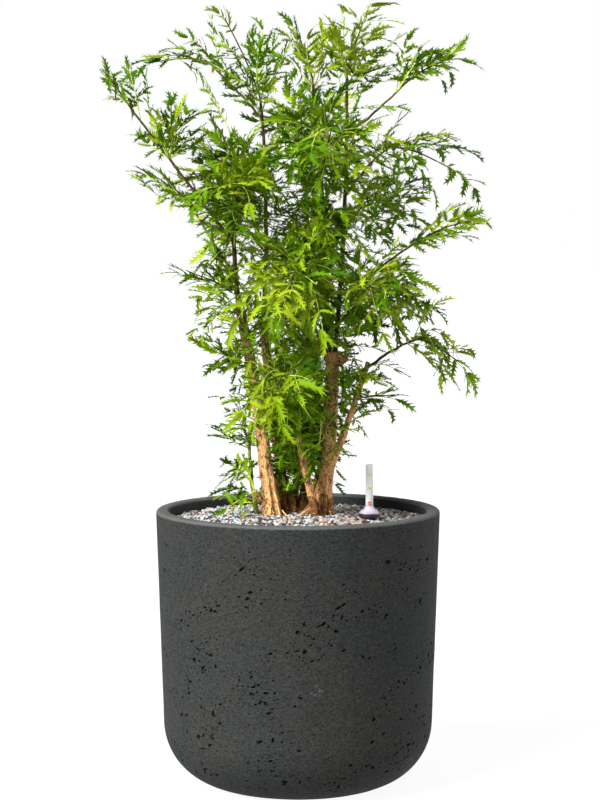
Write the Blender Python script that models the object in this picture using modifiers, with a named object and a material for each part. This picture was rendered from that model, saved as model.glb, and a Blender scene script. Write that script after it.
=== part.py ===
"""A potted ming aralia: a clump of stems in a round planter, with gravel and a water gauge.

Metres, Z up. The origin is at the middle of the planter's flat underside.
The planter is turned. The stems and boughs are tapering curves, each cut clear of what bears it.
Every mass of foliage grows by a seeded rule from one stem and keeps to its own share of the crown.
"""

import math
import random

import bmesh
import bpy
from mathutils import Matrix, Vector
from mathutils.bvhtree import BVHTree
from mathutils.geometry import delaunay_2d_cdt

# Gap kept between neighbouring pieces.
CLEARANCE = 0.0003
MERGE_DISTANCE = 0.00005
SHARP_ANGLE = math.radians(40)

# Planter: a drum that narrows a little downwards, with a wide round lower corner.
POT_RADIUS = 0.170
POT_FOOT_RADIUS = 0.1617
POT_HEIGHT = 0.330
POT_WALL = 0.016
POT_FLOOR = 0.020
POT_CORNER_RADIUS = 0.0755
RIM_ROUND = 0.004
POT_SIDES = 44
OUTER_CORNER_STEPS = 6
INNER_CORNER_STEPS = 4
RIM_STEPS = 2

# Gravel: a low mound with a level top that the stems stand on.
GRAVEL_TOP = 0.323
GRAVEL_EDGE = 0.317
GRAVEL_LEVEL_RADIUS = 0.056
GRAVEL_LEVEL_SIDES = 18

# Its stones stand out of the slope larger than life, one at every third place of a loose grid.
STONE_GRID = 0.0175
STONE_RISE = 0.0022
STONE_DRIFT = 0.0026
STONE_BORDER = 0.008

# Water gauge: a collar on the gravel, a domed cap and a slim tube.
GAUGE_PLACE = Vector((0.085, -0.019, 0.0))
COLLAR_RADIUS = 0.0125
COLLAR_HEIGHT = 0.0045
CAP_RADIUS = 0.0122
CAP_NECK_RADIUS = 0.0058
CAP_HEIGHT = 0.0095
TUBE_RADIUS = 0.0045
TUBE_TOP = 0.385
GAUGE_SIDES = 16
DOME_STEPS = 4
DOME_FALL = 1.6

# Stems: the foot (x, y) on the gravel, the tip, how far the middle bows aside, and the radii.
# The flare is the extra radius where a stem meets the gravel.
STEM_FLARE_HEIGHT = 0.016
STEM_SINK = 0.012
STEM_RINGS = 10
STEM_ROUNDNESS = 2
FLARE_RING = 0.55
GROUND_BLOCK = 0.2

STEMS = (
    # name, foot, tip, bow, foot radius, tip radius, flare
    ("stem_right", (0.024, 0.000), (0.040, 0.004, 0.518), (0.006, 0, 0), 0.0086, 0.0082, 0.0105),
    ("stem_left", (-0.030, -0.004), (-0.070, -0.020, 0.575), (0.004, 0, 0), 0.0088, 0.0058, 0.0030),
    ("stem_back_left", (-0.016, 0.026), (-0.043, 0.022, 0.553), (0.002, 0, 0), 0.0066, 0.0054, 0.0035),
    ("stem_back", (0.006, 0.040), (0.010, 0.062, 0.540), (0.004, 0.004, 0), 0.0062, 0.0048, 0.0030),
    ("stem_middle", (0.0245, -0.0210), (-0.014, -0.032, 0.486), (-0.001, 0, 0), 0.0048, 0.0030, 0.0012),
    ("shoot_left", (-0.047, 0.008), (-0.059, 0.012, 0.420), (-0.003, 0, 0), 0.0027, 0.0018, 0.0006),
)

# Boughs: each leaves its bearer at a share of the bearer's length, and tapers from foot to tip.
BOUGH_RINGS = 6
BOUGH_ROUNDNESS = 1
LEFT_STUB = (0.0040, 0.0034)
RIGHT_STUB = (0.0052, 0.0046)
OUTER_STEM = (0.0046, 0.0028)
LEADER = (0.0032, 0.0017)
BOUGH = (0.0020, 0.0012)
THIN_BOUGH = (0.0016, 0.0010)

BOUGHS = (
    # name, bearer, share, tip, bow, radii at foot and tip
    ("stub_left", "stem_left", 0.08, (-0.053, -0.014, 0.353), (0, 0, 0), LEFT_STUB),
    ("stub_right", "stem_right", 0.93, (0.058, -0.004, 0.512), (0, 0, 0), RIGHT_STUB),
    ("stem_outer", "stem_right", 0.30, (0.083, -0.020, 0.507), (0.003, 0, 0.004), OUTER_STEM),
    ("leader_left", "stem_left", 0.97, (-0.070, -0.024, 0.760), (-0.007, 0, 0), LEADER),
    ("leader_back_left", "stem_back_left", 0.97, (-0.044, -0.010, 0.812), (0.005, 0.012, 0), LEADER),
    ("leader_centre", "stem_right", 0.98, (0.018, 0.014, 0.836), (0.004, -0.004, 0), LEADER),
    ("leader_right", "stem_right", 0.98, (0.058, -0.004, 0.842), (0.004, 0.008, 0), LEADER),
    ("leader_back", "stem_back", 0.97, (0.006, 0.088, 0.748), (0.004, 0.002, 0), LEADER),
    ("bough_far_left", "leader_left", 0.42, (-0.197, -0.042, 0.808), (0.004, 0, -0.006), BOUGH),
    ("bough_left", "leader_left", 0.22, (-0.122, 0.000, 0.685), (0, 0, -0.003), BOUGH),
    ("bough_top_left", "leader_back_left", 0.93, (-0.102, 0.010, 0.858), (0.004, 0, -0.002), THIN_BOUGH),
    ("bough_right_low", "leader_right", 0.18, (0.134, -0.025, 0.645), (0, 0, 0.005), BOUGH),
    ("bough_right", "leader_right", 0.58, (0.105, 0.022, 0.759), (0, 0, 0.004), BOUGH),
    ("bough_top_right", "leader_right", 0.80, (0.122, -0.020, 0.831), (0, 0, -0.003), THIN_BOUGH),
    ("bough_droop", "stem_outer", 0.93, (0.136, -0.022, 0.532), (0, 0, 0.004), BOUGH),
    ("bough_front", "leader_centre", 0.15, (0.004, -0.078, 0.620), (0, 0, -0.006), BOUGH),
    ("bough_front_right", "leader_right", 0.12, (0.074, -0.076, 0.592), (0, 0, -0.006), BOUGH),
    ("bough_back_left", "leader_back", 0.25, (-0.062, 0.124, 0.664), (0, 0, -0.006), BOUGH),
    ("bough_back_right", "leader_back", 0.40, (0.080, 0.116, 0.694), (0, 0, -0.006), BOUGH),
    ("bough_back_low", "stem_back", 0.62, (0.014, 0.118, 0.520), (0, 0, -0.006), BOUGH),
)

# Boughs that start beside the middle line of their bearer, with the place (x, y) of each.
BESIDE = {
    "stem_outer": (0.0, -0.001),
    "leader_centre": (-0.0045, -0.001),
    "leader_right": (0.0040, 0.002),
}

# Foliage: each mass grows from its bearer towards its furthest tip, within its own girth.
MASSES = (
    # name, bearer, share, furthest tip, girth
    ("foliage_top", "leader_right", 1.0, (0.087, -0.034, 0.927), 0.048),
    ("foliage_top_middle", "leader_centre", 1.0, (-0.008, 0.050, 0.913), 0.056),
    ("foliage_top_left", "leader_back_left", 1.0, (-0.094, -0.044, 0.918), 0.048),
    ("foliage_far_top_left", "bough_top_left", 1.0, (-0.197, 0.028, 0.853), 0.022),
    ("foliage_far_left", "bough_far_left", 1.0, (-0.233, -0.050, 0.850), 0.022),
    ("foliage_left_high", "bough_far_left", 0.66, (-0.150, -0.012, 0.814), 0.043),
    ("foliage_left", "bough_left", 1.0, (-0.190, 0.034, 0.733), 0.036),
    ("foliage_top_right", "bough_top_right", 1.0, (0.194, -0.036, 0.863), 0.029),
    ("foliage_right", "bough_right", 1.0, (0.217, 0.044, 0.712), 0.050),
    ("foliage_right_low", "bough_right_low", 1.0, (0.229, -0.042, 0.675), 0.035),
    ("foliage_droop", "bough_droop", 1.0, (0.205, -0.030, 0.491), 0.036),
    ("foliage_left_low", "leader_left", 0.14, (-0.142, -0.042, 0.613), 0.052),
    ("foliage_left_lower", "stem_left", 0.76, (-0.109, -0.046, 0.528), 0.052),
    ("foliage_foot_left", "shoot_left", 1.0, (-0.101, -0.010, 0.427), 0.042),
    ("foliage_front_low", "stem_middle", 1.0, (-0.026, -0.146, 0.466), 0.064),
    ("foliage_front", "bough_front", 1.0, (-0.010, -0.170, 0.588), 0.070),
    ("foliage_front_left", "leader_left", 0.58, (-0.067, -0.130, 0.741), 0.066),
    ("foliage_front_right", "bough_front_right", 1.0, (0.099, -0.150, 0.584), 0.062),
    ("foliage_front_high", "leader_centre", 0.66, (0.044, -0.140, 0.788), 0.072),
    ("foliage_middle", "leader_centre", 0.44, (0.023, -0.118, 0.671), 0.062),
    ("foliage_low_right", "stem_outer", 0.72, (0.120, -0.046, 0.464), 0.040),
    ("foliage_low_front", "stem_right", 0.58, (0.019, -0.085, 0.448), 0.054),
    ("foliage_back_left", "bough_back_left", 1.0, (-0.124, 0.162, 0.675), 0.066),
    ("foliage_back_right", "bough_back_right", 1.0, (0.148, 0.166, 0.690), 0.066),
    ("foliage_back_high", "leader_back", 1.0, (0.002, 0.140, 0.846), 0.072),
    ("foliage_back_low", "bough_back_low", 1.0, (0.012, 0.182, 0.500), 0.064),
    ("foliage_inner_left", "leader_back_left", 0.62, (-0.130, 0.066, 0.764), 0.066),
    ("foliage_inner_right", "leader_right", 0.24, (0.171, 0.030, 0.565), 0.054),
    ("foliage_heart", "leader_centre", 0.30, (-0.038, -0.074, 0.550), 0.062),
)

# A mass keeps above the gravel and this far from the border of its space.
FOLIAGE_FLOOR = GRAVEL_TOP + 0.010
SPACE_MARGIN = 0.0012
# Its spindle starts behind its neck by a share of its reach, and leaves grow outside its core.
MASS_OVERRUN = 0.16
SPINDLE_CORE = 0.30
SPINDLE_EDGE = 0.98
TIP_MARGIN = 0.001
# Its stem starts where a probe from outside meets the bearer, and leaves it through a neck.
PROBE_LENGTH = 0.05
NECK_LENGTH = 0.007
# It then bends at two shares of its reach, lifted by a share of it.
STEM_BENDS = (0.30, 0.60)
STEM_LIFT = 0.08
NODE_SPACING = 0.0042
TWIG_RADIUS = 0.0011
TWIG_TIP_RADIUS = 0.0008

# Leaves: a mass has so many per metre of girth, and one out of reach of a node gets a twig.
LEAVES_PER_GIRTH = 402
LEAST_LEAVES = 8
LEAF_LENGTH = 0.054
LEAF_LEAST_LENGTH = 0.024
TWIG_LEAST_REACH = 1.2 * LEAF_LENGTH
LEAF_SLENDERNESS = 0.38
LEAF_THICKNESS = 0.0026
LEAF_ROLL = 0.5
# The shares of a leaf's length at which it is widest, and at which it is clear of its twig.
LEAF_WIDEST = 0.42
LEAF_ROOT = 0.12
LEAF_TRIES = 150
# How much a leaf's middle counts beside its tip, when the widest free place is sought.
MIDDLE_WEIGHT = 1.3
# A direction this near to upright has no level side of its own.
UPRIGHT = 0.1

# Colours (linear RGB), roughness and metallic value of each finish.
FIBRE_CEMENT = ((0.047, 0.050, 0.047, 1.0), 0.85, 0.0)
GRAVEL = ((0.440, 0.400, 0.370, 1.0), 0.80, 0.0)
BARK = ((0.500, 0.260, 0.095, 1.0), 0.80, 0.0)
DARK_BARK = ((0.060, 0.038, 0.020, 1.0), 0.75, 0.0)
LEAF_GREEN = ((0.110, 0.240, 0.010, 1.0), 0.45, 0.0)
DARK_PLASTIC = ((0.035, 0.018, 0.040, 1.0), 0.35, 0.0)
CLEAR_PLASTIC = ((0.560, 0.500, 0.560, 1.0), 0.20, 0.0)
MILKY_PLASTIC = ((0.720, 0.720, 0.700, 1.0), 0.25, 0.0)


def clear_scene():
    """Remove every object of the open scene."""
    for item in list(bpy.data.objects):
        bpy.data.objects.remove(item, do_unlink=True)


def new_collection(name):
    """A collection linked to the scene."""
    collection = bpy.data.collections.new(name)
    bpy.context.scene.collection.children.link(collection)
    return collection


def finish_material(name, finish):
    """A Principled material from a colour, a roughness and a metallic value."""
    colour, roughness, metallic = finish
    material = bpy.data.materials.new(name)
    material.use_nodes = True
    shader = material.node_tree.nodes["Principled BSDF"]
    shader.inputs["Base Color"].default_value = colour
    shader.inputs["Roughness"].default_value = roughness
    shader.inputs["Metallic"].default_value = metallic
    material.diffuse_color = colour
    return material


def add_part(name, mesh, finish, smooth=True):
    """Put a mesh in the plant's collection as a named part with its own material."""
    part = bpy.data.objects.new(name, mesh)
    parts.objects.link(part)
    mesh.materials.clear()
    mesh.materials.append(finish_material(name + "_finish", finish))
    if smooth:
        mesh.shade_smooth()
        mesh.set_sharp_from_angle(angle=SHARP_ANGLE)
    return part


def add_cutter(name, mesh):
    """Put a mesh among the cutters, out of sight."""
    cutter = bpy.data.objects.new(name, mesh)
    cutters.objects.link(cutter)
    cutter.hide_render = True
    cutter.display_type = "WIRE"
    return cutter


def mesh_of(item):
    """The evaluated mesh of an object, as a new mesh."""
    depsgraph = bpy.context.evaluated_depsgraph_get()
    depsgraph.update()
    return bpy.data.meshes.new_from_object(item.evaluated_get(depsgraph))


def turned(name, profile, finish, sides):
    """A turned solid: the profile, given as (radius, height) pairs, swept round the Z axis."""
    mesh = bpy.data.meshes.new(name)
    vertices = [(radius, 0.0, height) for radius, height in profile]
    edges = [(k, k + 1) for k in range(len(profile) - 1)]
    mesh.from_pydata(vertices, edges, [])
    part = add_part(name, mesh, finish, smooth=False)
    sweep = part.modifiers.new("sweep", "SCREW")
    sweep.steps = sides
    sweep.render_steps = sides
    sweep.use_merge_vertices = True
    sweep.merge_threshold = MERGE_DISTANCE
    sweep.use_smooth_shade = True
    return part


def arc(centre, radius, start, stop, steps):
    """Points of a circular arc in the profile plane, from start to stop in degrees."""
    points = []
    for k in range(steps + 1):
        angle = math.radians(start + (stop - start) * k / steps)
        x = centre[0] + radius * math.cos(angle)
        z = centre[1] + radius * math.sin(angle)
        points.append((x, z))
    return points


def drum_corner(radius, foot_radius, corner, bottom, top, steps):
    """The round lower corner of a drum, from the foot of its side to the edge of its underside."""
    slope = math.degrees(math.atan2(radius - foot_radius, top - bottom - corner))
    centre = (foot_radius - corner, bottom + corner)
    return arc(centre, corner, -slope, -90.0, steps)


def make_pot():
    """The planter: a thick wall with a rounded rim and a flat underside."""
    inner_radius = POT_RADIUS - POT_WALL
    inner_foot = POT_FOOT_RADIUS - POT_WALL
    inner_corner = POT_CORNER_RADIUS - POT_WALL
    rim_foot = POT_HEIGHT - RIM_ROUND
    inside = drum_corner(inner_radius, inner_foot, inner_corner, POT_FLOOR, rim_foot, INNER_CORNER_STEPS)
    inner_rim = arc((inner_radius + RIM_ROUND, rim_foot), RIM_ROUND, 180.0, 90.0, RIM_STEPS)
    outer_rim = arc((POT_RADIUS - RIM_ROUND, rim_foot), RIM_ROUND, 90.0, 0.0, RIM_STEPS)
    outside = drum_corner(POT_RADIUS, POT_FOOT_RADIUS, POT_CORNER_RADIUS, 0.0, rim_foot, OUTER_CORNER_STEPS)
    profile = [(0.0, POT_FLOOR)] + inside[::-1] + inner_rim + outer_rim + outside + [(0.0, 0.0)]
    return turned("pot", profile, FIBRE_CEMENT, POT_SIDES)


def gravel_edge_radius():
    """The radius of the gravel where it meets the planter's wall."""
    inner_corner = POT_CORNER_RADIUS - POT_WALL
    taper = (POT_RADIUS - POT_FOOT_RADIUS) / (POT_HEIGHT - RIM_ROUND - POT_FLOOR - inner_corner)
    return POT_RADIUS - POT_WALL - CLEARANCE - taper * (POT_HEIGHT - RIM_ROUND - GRAVEL_EDGE)


def gravel_height(radius):
    """The height of the gravel's top at a distance from the middle."""
    share = (radius - GRAVEL_LEVEL_RADIUS) / (gravel_edge_radius() - GRAVEL_LEVEL_RADIUS)
    return GRAVEL_TOP + (GRAVEL_EDGE - GRAVEL_TOP) * max(share, 0.0)


def ring_places(radius, sides, middle=Vector((0.0, 0.0))):
    """Evenly spaced places (x, y) on a circle."""
    places = []
    for k in range(sides):
        angle = 2.0 * math.pi * k / sides
        places.append(middle + Vector((math.cos(angle), math.sin(angle))) * radius)
    return places


def stone_places(rng):
    """The loose grid on the gravel's slope: each place (x, y), and whether a stone stands there."""
    gauge = GAUGE_PLACE.xy
    reach = math.ceil(POT_RADIUS / STONE_GRID) * 2
    places = []
    for row in range(-reach, reach + 1):
        for column in range(-reach, reach + 1):
            place = Vector((column + row / 2, row * math.sqrt(3.0) / 2)) * STONE_GRID
            place += Vector((rng.uniform(-STONE_DRIFT, STONE_DRIFT), rng.uniform(-STONE_DRIFT, STONE_DRIFT)))
            inner = place.length < GRAVEL_LEVEL_RADIUS + STONE_BORDER
            outer = place.length > gravel_edge_radius() - STONE_BORDER
            if not inner and not outer and (place - gauge).length > COLLAR_RADIUS + STONE_BORDER:
                places.append((place, (column - row) % 3 == 0))
    return places


def cover_gravel(shape, edge):
    """Close the gravel's top: level under the stems and the gauge, and stony between them."""
    level = ring_places(GRAVEL_LEVEL_RADIUS, GRAVEL_LEVEL_SIDES)
    level += ring_places(COLLAR_RADIUS, GAUGE_SIDES // 2, GAUGE_PLACE.xy)
    corners = list(edge)
    for place in level:
        corners.append(shape.verts.new((place.x, place.y, gravel_height(place.length))))
    for place, stone in stone_places(random.Random("stones")):
        height = gravel_height(place.length) - (0.0 if stone else STONE_RISE)
        corners.append(shape.verts.new((place.x, place.y, height)))
    flat = [corner.co.xy for corner in corners]
    for face in delaunay_2d_cdt(flat, [], [], 0, MERGE_DISTANCE)[2]:
        shape.faces.new([corners[k] for k in face])


def make_gravel():
    """The planting fill, clear of the planter all round, with stones that stand out of its top."""
    foot_radius = POT_FOOT_RADIUS - POT_WALL - CLEARANCE
    corner = POT_CORNER_RADIUS - POT_WALL
    edge_radius = gravel_edge_radius()
    side = drum_corner(edge_radius, foot_radius, corner, POT_FLOOR + CLEARANCE, GRAVEL_EDGE, INNER_CORNER_STEPS)
    shape = bmesh.new()
    rings = []
    for radius, height in [(edge_radius, GRAVEL_EDGE)] + side:
        rings.append([shape.verts.new((place.x, place.y, height)) for place in ring_places(radius, POT_SIDES)])
    for upper, lower in zip(rings, rings[1:]):
        for k in range(POT_SIDES):
            shape.faces.new((upper[k], upper[k - 1], lower[k - 1], lower[k]))
    shape.faces.new(rings[-1])
    cover_gravel(shape, rings[0])
    bmesh.ops.recalc_face_normals(shape, faces=shape.faces)
    mesh = bpy.data.meshes.new("gravel")
    shape.to_mesh(mesh)
    shape.free()
    return add_part("gravel", mesh, GRAVEL, smooth=False)


def make_gauge():
    """The water gauge: collar, domed cap and tube, stacked on the gravel."""
    seat = gravel_height(GAUGE_PLACE.length - COLLAR_RADIUS) + CLEARANCE
    collar_top = seat + COLLAR_HEIGHT
    cap_foot = collar_top + CLEARANCE
    cap_top = cap_foot + CAP_HEIGHT
    collar = [(0.0, collar_top), (COLLAR_RADIUS, collar_top), (COLLAR_RADIUS, seat), (0.0, seat)]
    dome = []
    for k in range(DOME_STEPS + 1):
        share = k / DOME_STEPS
        radius = CAP_NECK_RADIUS + (CAP_RADIUS - CAP_NECK_RADIUS) * math.sin(share * math.pi / 2)
        dome.append((radius, cap_top - CAP_HEIGHT * share ** DOME_FALL))
    cap = [(0.0, cap_top)] + dome + [(0.0, cap_foot)]
    tube_foot = cap_top + CLEARANCE
    tube = [(0.0, TUBE_TOP), (TUBE_RADIUS, TUBE_TOP), (TUBE_RADIUS, tube_foot), (0.0, tube_foot)]
    stack = (
        ("gauge_collar", collar, DARK_PLASTIC),
        ("gauge_cap", cap, CLEAR_PLASTIC),
        ("gauge_tube", tube, MILKY_PLASTIC),
    )
    for name, profile, finish in stack:
        turned(name, profile, finish, GAUGE_SIDES).location = GAUGE_PLACE


class Limb:
    """A stem or bough: its middle line and its radius at each point of that line."""

    def __init__(self, name, line, radii):
        self.name = name
        self.line = line
        self.radii = radii

    def at(self, share):
        """The point, direction and radius at a share of the way from foot to tip."""
        place = min(max(share, 0.0), 1.0) * (len(self.line) - 1)
        k = min(int(place), len(self.line) - 2)
        rest = place - k
        point = self.line[k].lerp(self.line[k + 1], rest)
        direction = (self.line[k + 1] - self.line[k]).normalized()
        radius = self.radii[k] + (self.radii[k + 1] - self.radii[k]) * rest
        return point, direction, radius


def limb_mesh(limb, extra, roundness):
    """A tube with filled ends along a limb, thicker than it by the extra radius."""
    curve = bpy.data.curves.new(limb.name, "CURVE")
    curve.dimensions = "3D"
    curve.bevel_depth = 1.0
    curve.bevel_resolution = roundness
    curve.use_fill_caps = True
    spline = curve.splines.new("POLY")
    spline.points.add(len(limb.line) - 1)
    for point, place, radius in zip(spline.points, limb.line, limb.radii):
        point.co = (place.x, place.y, place.z, 1.0)
        point.radius = radius + extra
    tube = bpy.data.objects.new(limb.name, curve)
    cutters.objects.link(tube)
    mesh = mesh_of(tube)
    bpy.data.objects.remove(tube, do_unlink=True)
    bpy.data.curves.remove(curve)
    shape = bmesh.new()
    shape.from_mesh(mesh)
    bmesh.ops.remove_doubles(shape, verts=shape.verts, dist=MERGE_DISTANCE)
    shape.to_mesh(mesh)
    shape.free()
    return mesh


def bowed_line(foot, tip, bow, rings):
    """Points from foot to tip along a line whose middle is pushed aside by the bow."""
    line = []
    for k in range(rings):
        t = k / (rings - 1)
        line.append(foot.lerp(tip, t) + bow * (4.0 * t * (1.0 - t)))
    return line


def make_ground_cutter():
    """A block below the level of the gravel, which gives each stem its flat foot."""
    shape = bmesh.new()
    middle = Vector((0.0, 0.0, GRAVEL_TOP + CLEARANCE - GROUND_BLOCK / 2))
    bmesh.ops.create_cube(shape, size=GROUND_BLOCK, matrix=Matrix.Translation(middle))
    mesh = bpy.data.meshes.new("ground_cutter")
    shape.to_mesh(mesh)
    shape.free()
    return add_cutter("ground_cutter", mesh)


def cut(part, cutter):
    """Cut a part clear of a cutter."""
    boolean = part.modifiers.new("clear_of_" + cutter.name, "BOOLEAN")
    boolean.operation = "DIFFERENCE"
    boolean.object = cutter


def grow_stems():
    """The stems, from a flat cut at the gravel to their sawn or forking tops."""
    ground = make_ground_cutter()
    for name, foot, tip, bow, foot_radius, tip_radius, flare in STEMS:
        foot = Vector((foot[0], foot[1], GRAVEL_TOP - STEM_SINK))
        line = bowed_line(foot, Vector(tip), Vector(bow), STEM_RINGS)
        height = line[-1].z - GRAVEL_TOP
        line.insert(1, line[0].lerp(line[1], FLARE_RING))
        radii = []
        for point in line:
            rise = max(point.z - GRAVEL_TOP, 0.0)
            radius = foot_radius + (tip_radius - foot_radius) * rise / height
            radii.append(radius + flare * math.exp(-rise / STEM_FLARE_HEIGHT))
        limb = Limb(name, line, radii)
        stem = add_part(name, limb_mesh(limb, 0.0, STEM_ROUNDNESS), BARK)
        cut(stem, ground)
        for other in limbs.values():
            cut(stem, guides[other.name])
        limbs[name] = limb
        guides[name] = add_cutter(name + "_guide", limb_mesh(limb, CLEARANCE, STEM_ROUNDNESS))


def grow_boughs():
    """The leaders and boughs, each cut clear of the limb that bears it."""
    for name, bearer, share, tip, bow, (foot_radius, tip_radius) in BOUGHS:
        aside_x, aside_y = BESIDE.get(name, (0.0, 0.0))
        foot = limbs[bearer].at(share)[0] + Vector((aside_x, aside_y, 0.0))
        line = bowed_line(foot, Vector(tip), Vector(bow), BOUGH_RINGS)
        radii = []
        for k in range(BOUGH_RINGS):
            radii.append(foot_radius + (tip_radius - foot_radius) * k / (BOUGH_RINGS - 1))
        limb = Limb(name, line, radii)
        bark = BARK if name.startswith(("stem", "stub")) else DARK_BARK
        cut(add_part(name, limb_mesh(limb, 0.0, BOUGH_ROUNDNESS), bark), guides[bearer])
        limbs[name] = limb
        guides[name] = add_cutter(name + "_guide", limb_mesh(limb, CLEARANCE, BOUGH_ROUNDNESS))


def guide_tree(name):
    """A search tree of a limb's guide."""
    shape = bmesh.new()
    shape.from_mesh(guides[name].data)
    return tree_of(shape)


def side_of(bearer, point, heading):
    """Where a line from a point inside a limb leaves the limb's guide."""
    return guide_tree(bearer).ray_cast(point + heading * PROBE_LENGTH, -heading)[0]


class Mass:
    """A mass of foliage: its stem, and the spindle-shaped space that it fills."""

    def __init__(self, name, bearer, share, tip, girth):
        self.name = name
        self.tip = Vector(tip)
        self.girth = girth
        point, direction, radius = limbs[bearer].at(share)
        if share < 1.0:
            outward = self.tip - point
            heading = (outward - direction * outward.dot(direction)).normalized()
            self.foot = side_of(bearer, point, heading) + heading * CLEARANCE
            self.foot_radius = TWIG_RADIUS
        else:
            heading = direction
            self.foot = point + heading * CLEARANCE
            self.foot_radius = radius
        neck = self.foot + heading * NECK_LENGTH
        reach = self.tip - neck
        lift = Vector((0.0, 0.0, STEM_LIFT * reach.length))
        self.stem = [self.foot, neck] + [neck.lerp(self.tip, bend) + lift for bend in STEM_BENDS]
        start = neck - reach * MASS_OVERRUN
        self.centre = start.lerp(self.tip, 0.5)
        self.half_length = (self.tip - start).length / 2 + TIP_MARGIN
        self.axis = reach.normalized()

    def contains(self, point):
        """Whether a point lies in the spindle, above the gravel and nearer to this mass than to others."""
        if point.z < FOLIAGE_FLOOR:
            return False
        offset = point - self.centre
        along = offset.dot(self.axis)
        across = (offset - self.axis * along).length
        if (along / self.half_length) ** 2 + (across / self.girth) ** 2 > 1.0:
            return False
        own = offset.length_squared - self.girth ** 2
        for other in masses:
            if other is self:
                continue
            apart = (other.centre - self.centre).length
            rival = (point - other.centre).length_squared - other.girth ** 2
            if rival - own < 2.0 * SPACE_MARGIN * apart:
                return False
        return True


def section(place, direction, side, width, depth):
    """A three-cornered section square to a direction: two corners abreast and one below."""
    side = (side - direction * side.dot(direction)).normalized()
    below = side.cross(direction).normalized()
    return [
        place + side * (width / 2) - below * (depth / 3),
        place - side * (width / 2) - below * (depth / 3),
        place + below * (depth * 2 / 3),
    ]


def twig_section(place, direction, side, radius):
    """An even three-cornered section whose corners lie a radius from its middle."""
    return section(place, direction, side, radius * math.sqrt(3.0), radius * 1.5)


def loft(sections, tip):
    """A closed solid through three-cornered sections, from a flat foot to a point."""
    shape = bmesh.new()
    rings = [[shape.verts.new(corner) for corner in ring] for ring in sections]
    shape.faces.new(reversed(rings[0]))
    for lower, upper in zip(rings, rings[1:]):
        for k in range(3):
            shape.faces.new((lower[k], lower[k - 2], upper[k - 2], upper[k]))
    point = shape.verts.new(tip)
    for k in range(3):
        shape.faces.new((rings[-1][k], rings[-1][k - 2], point))
    bmesh.ops.recalc_face_normals(shape, faces=shape.faces)
    return shape


def level_side(direction, roll):
    """A direction square to another and level, then rolled about it."""
    side = direction.cross(Vector((0.0, 0.0, 1.0)))
    if side.length < UPRIGHT:
        side = direction.cross(Vector((0.0, 1.0, 0.0)))
    return Matrix.Rotation(roll, 3, direction) @ side.normalized()


def leafy_twig(line, radii, tip, roll):
    """A twig along a line that ends in a pointed leaf; with a line of one point, a leaf alone."""
    blade = tip - line[-1]
    side = level_side(blade.normalized(), roll)
    widest = line[-1] + blade * LEAF_WIDEST
    width = blade.length * LEAF_SLENDERNESS
    sections = [section(widest, blade.normalized(), side, width, LEAF_THICKNESS)]
    places = list(line) + [tip]
    for k in reversed(range(len(line))):
        direction = (places[k + 1] - places[k]).normalized()
        if k > 0:
            direction = (direction + (places[k] - places[k - 1]).normalized()).normalized()
        side = (side - direction * side.dot(direction)).normalized()
        sections.insert(0, twig_section(places[k], direction, side, radii[k]))
    return loft(sections, tip)


def tree_of(shape):
    """A search tree of a shape's faces."""
    return BVHTree.FromBMesh(shape)


def clear_of_limbs(shape, mass):
    """Whether a shape touches no limb and no other mass's stem."""
    own = tree_of(shape)
    for tree in limb_trees:
        if own.overlap(tree):
            return False
    for name, tree in stem_trees:
        if name != mass.name and own.overlap(tree):
            return False
    return True


def fits(shape, mass):
    """Whether a shape stays in its mass's space and clear of the limbs."""
    if not all(mass.contains(vertex.co) for vertex in shape.verts):
        return False
    return clear_of_limbs(shape, mass)


def point_in(mass, rng):
    """A random point of the mass's spindle, outside its core."""
    while True:
        offset = Vector((rng.uniform(-1, 1), rng.uniform(-1, 1), rng.uniform(-1, 1)))
        if SPINDLE_CORE < offset.length < SPINDLE_EDGE:
            break
    turn = mass.axis.to_track_quat("Z", "Y")
    size = Vector((mass.girth, mass.girth, mass.half_length))
    return mass.centre + turn @ (offset * size)


def spare_room(goal, blades):
    """How far a place is from the tips and middles of the leaves already there."""
    room = []
    for root, tip in blades:
        room.append((goal - tip).length)
        room.append(MIDDLE_WEIGHT * (goal - root.lerp(tip, 0.5)).length)
    return min(room)


def nodes_along(start, end):
    """Evenly spaced places along a twig that can bear another twig or a leaf."""
    count = max(1, round((end - start).length / NODE_SPACING))
    return [start.lerp(end, (k + 1) / count) for k in range(count)]


class Twig:
    """A twig that is already in place: the nodes still free on it, and a search tree of its solid."""

    def __init__(self, line, radii):
        self.nodes = []
        for start, end in zip(line, line[1:]):
            self.nodes += nodes_along(start, end)
        self.tree = tree_of(leafy_twig(line[:-1], radii, line[-1], 0.0))


def blade_tree(root, tip, roll):
    """A search tree of a leaf, without the part that joins its twig."""
    return tree_of(leafy_twig([root.lerp(tip, LEAF_ROOT)], [TWIG_TIP_RADIUS], tip, roll))


def nearest_node(goal, twigs):
    """How far the nearest free node is from a goal, the twig it is on, and the node."""
    places = [((goal - node).length, twig, node) for twig in twigs for node in twig.nodes]
    return min(places, key=lambda place: place[0], default=(0.0, None, None))


def reach_out(node, goal):
    """The line of a leaf's twig from a node: the node alone where the leaf itself reaches the goal."""
    reach = goal - node
    line = [node]
    if reach.length > TWIG_LEAST_REACH:
        line.append(goal - reach.normalized() * LEAF_LENGTH)
    return line


def free_places(mass, rng, blades):
    """Random places in a mass's space, those with the most room first."""
    places = [point_in(mass, rng) for _ in range(LEAF_TRIES)]
    places = [place for place in places if mass.contains(place)]
    return sorted(places, key=lambda place: -spare_room(place, blades))


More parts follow.
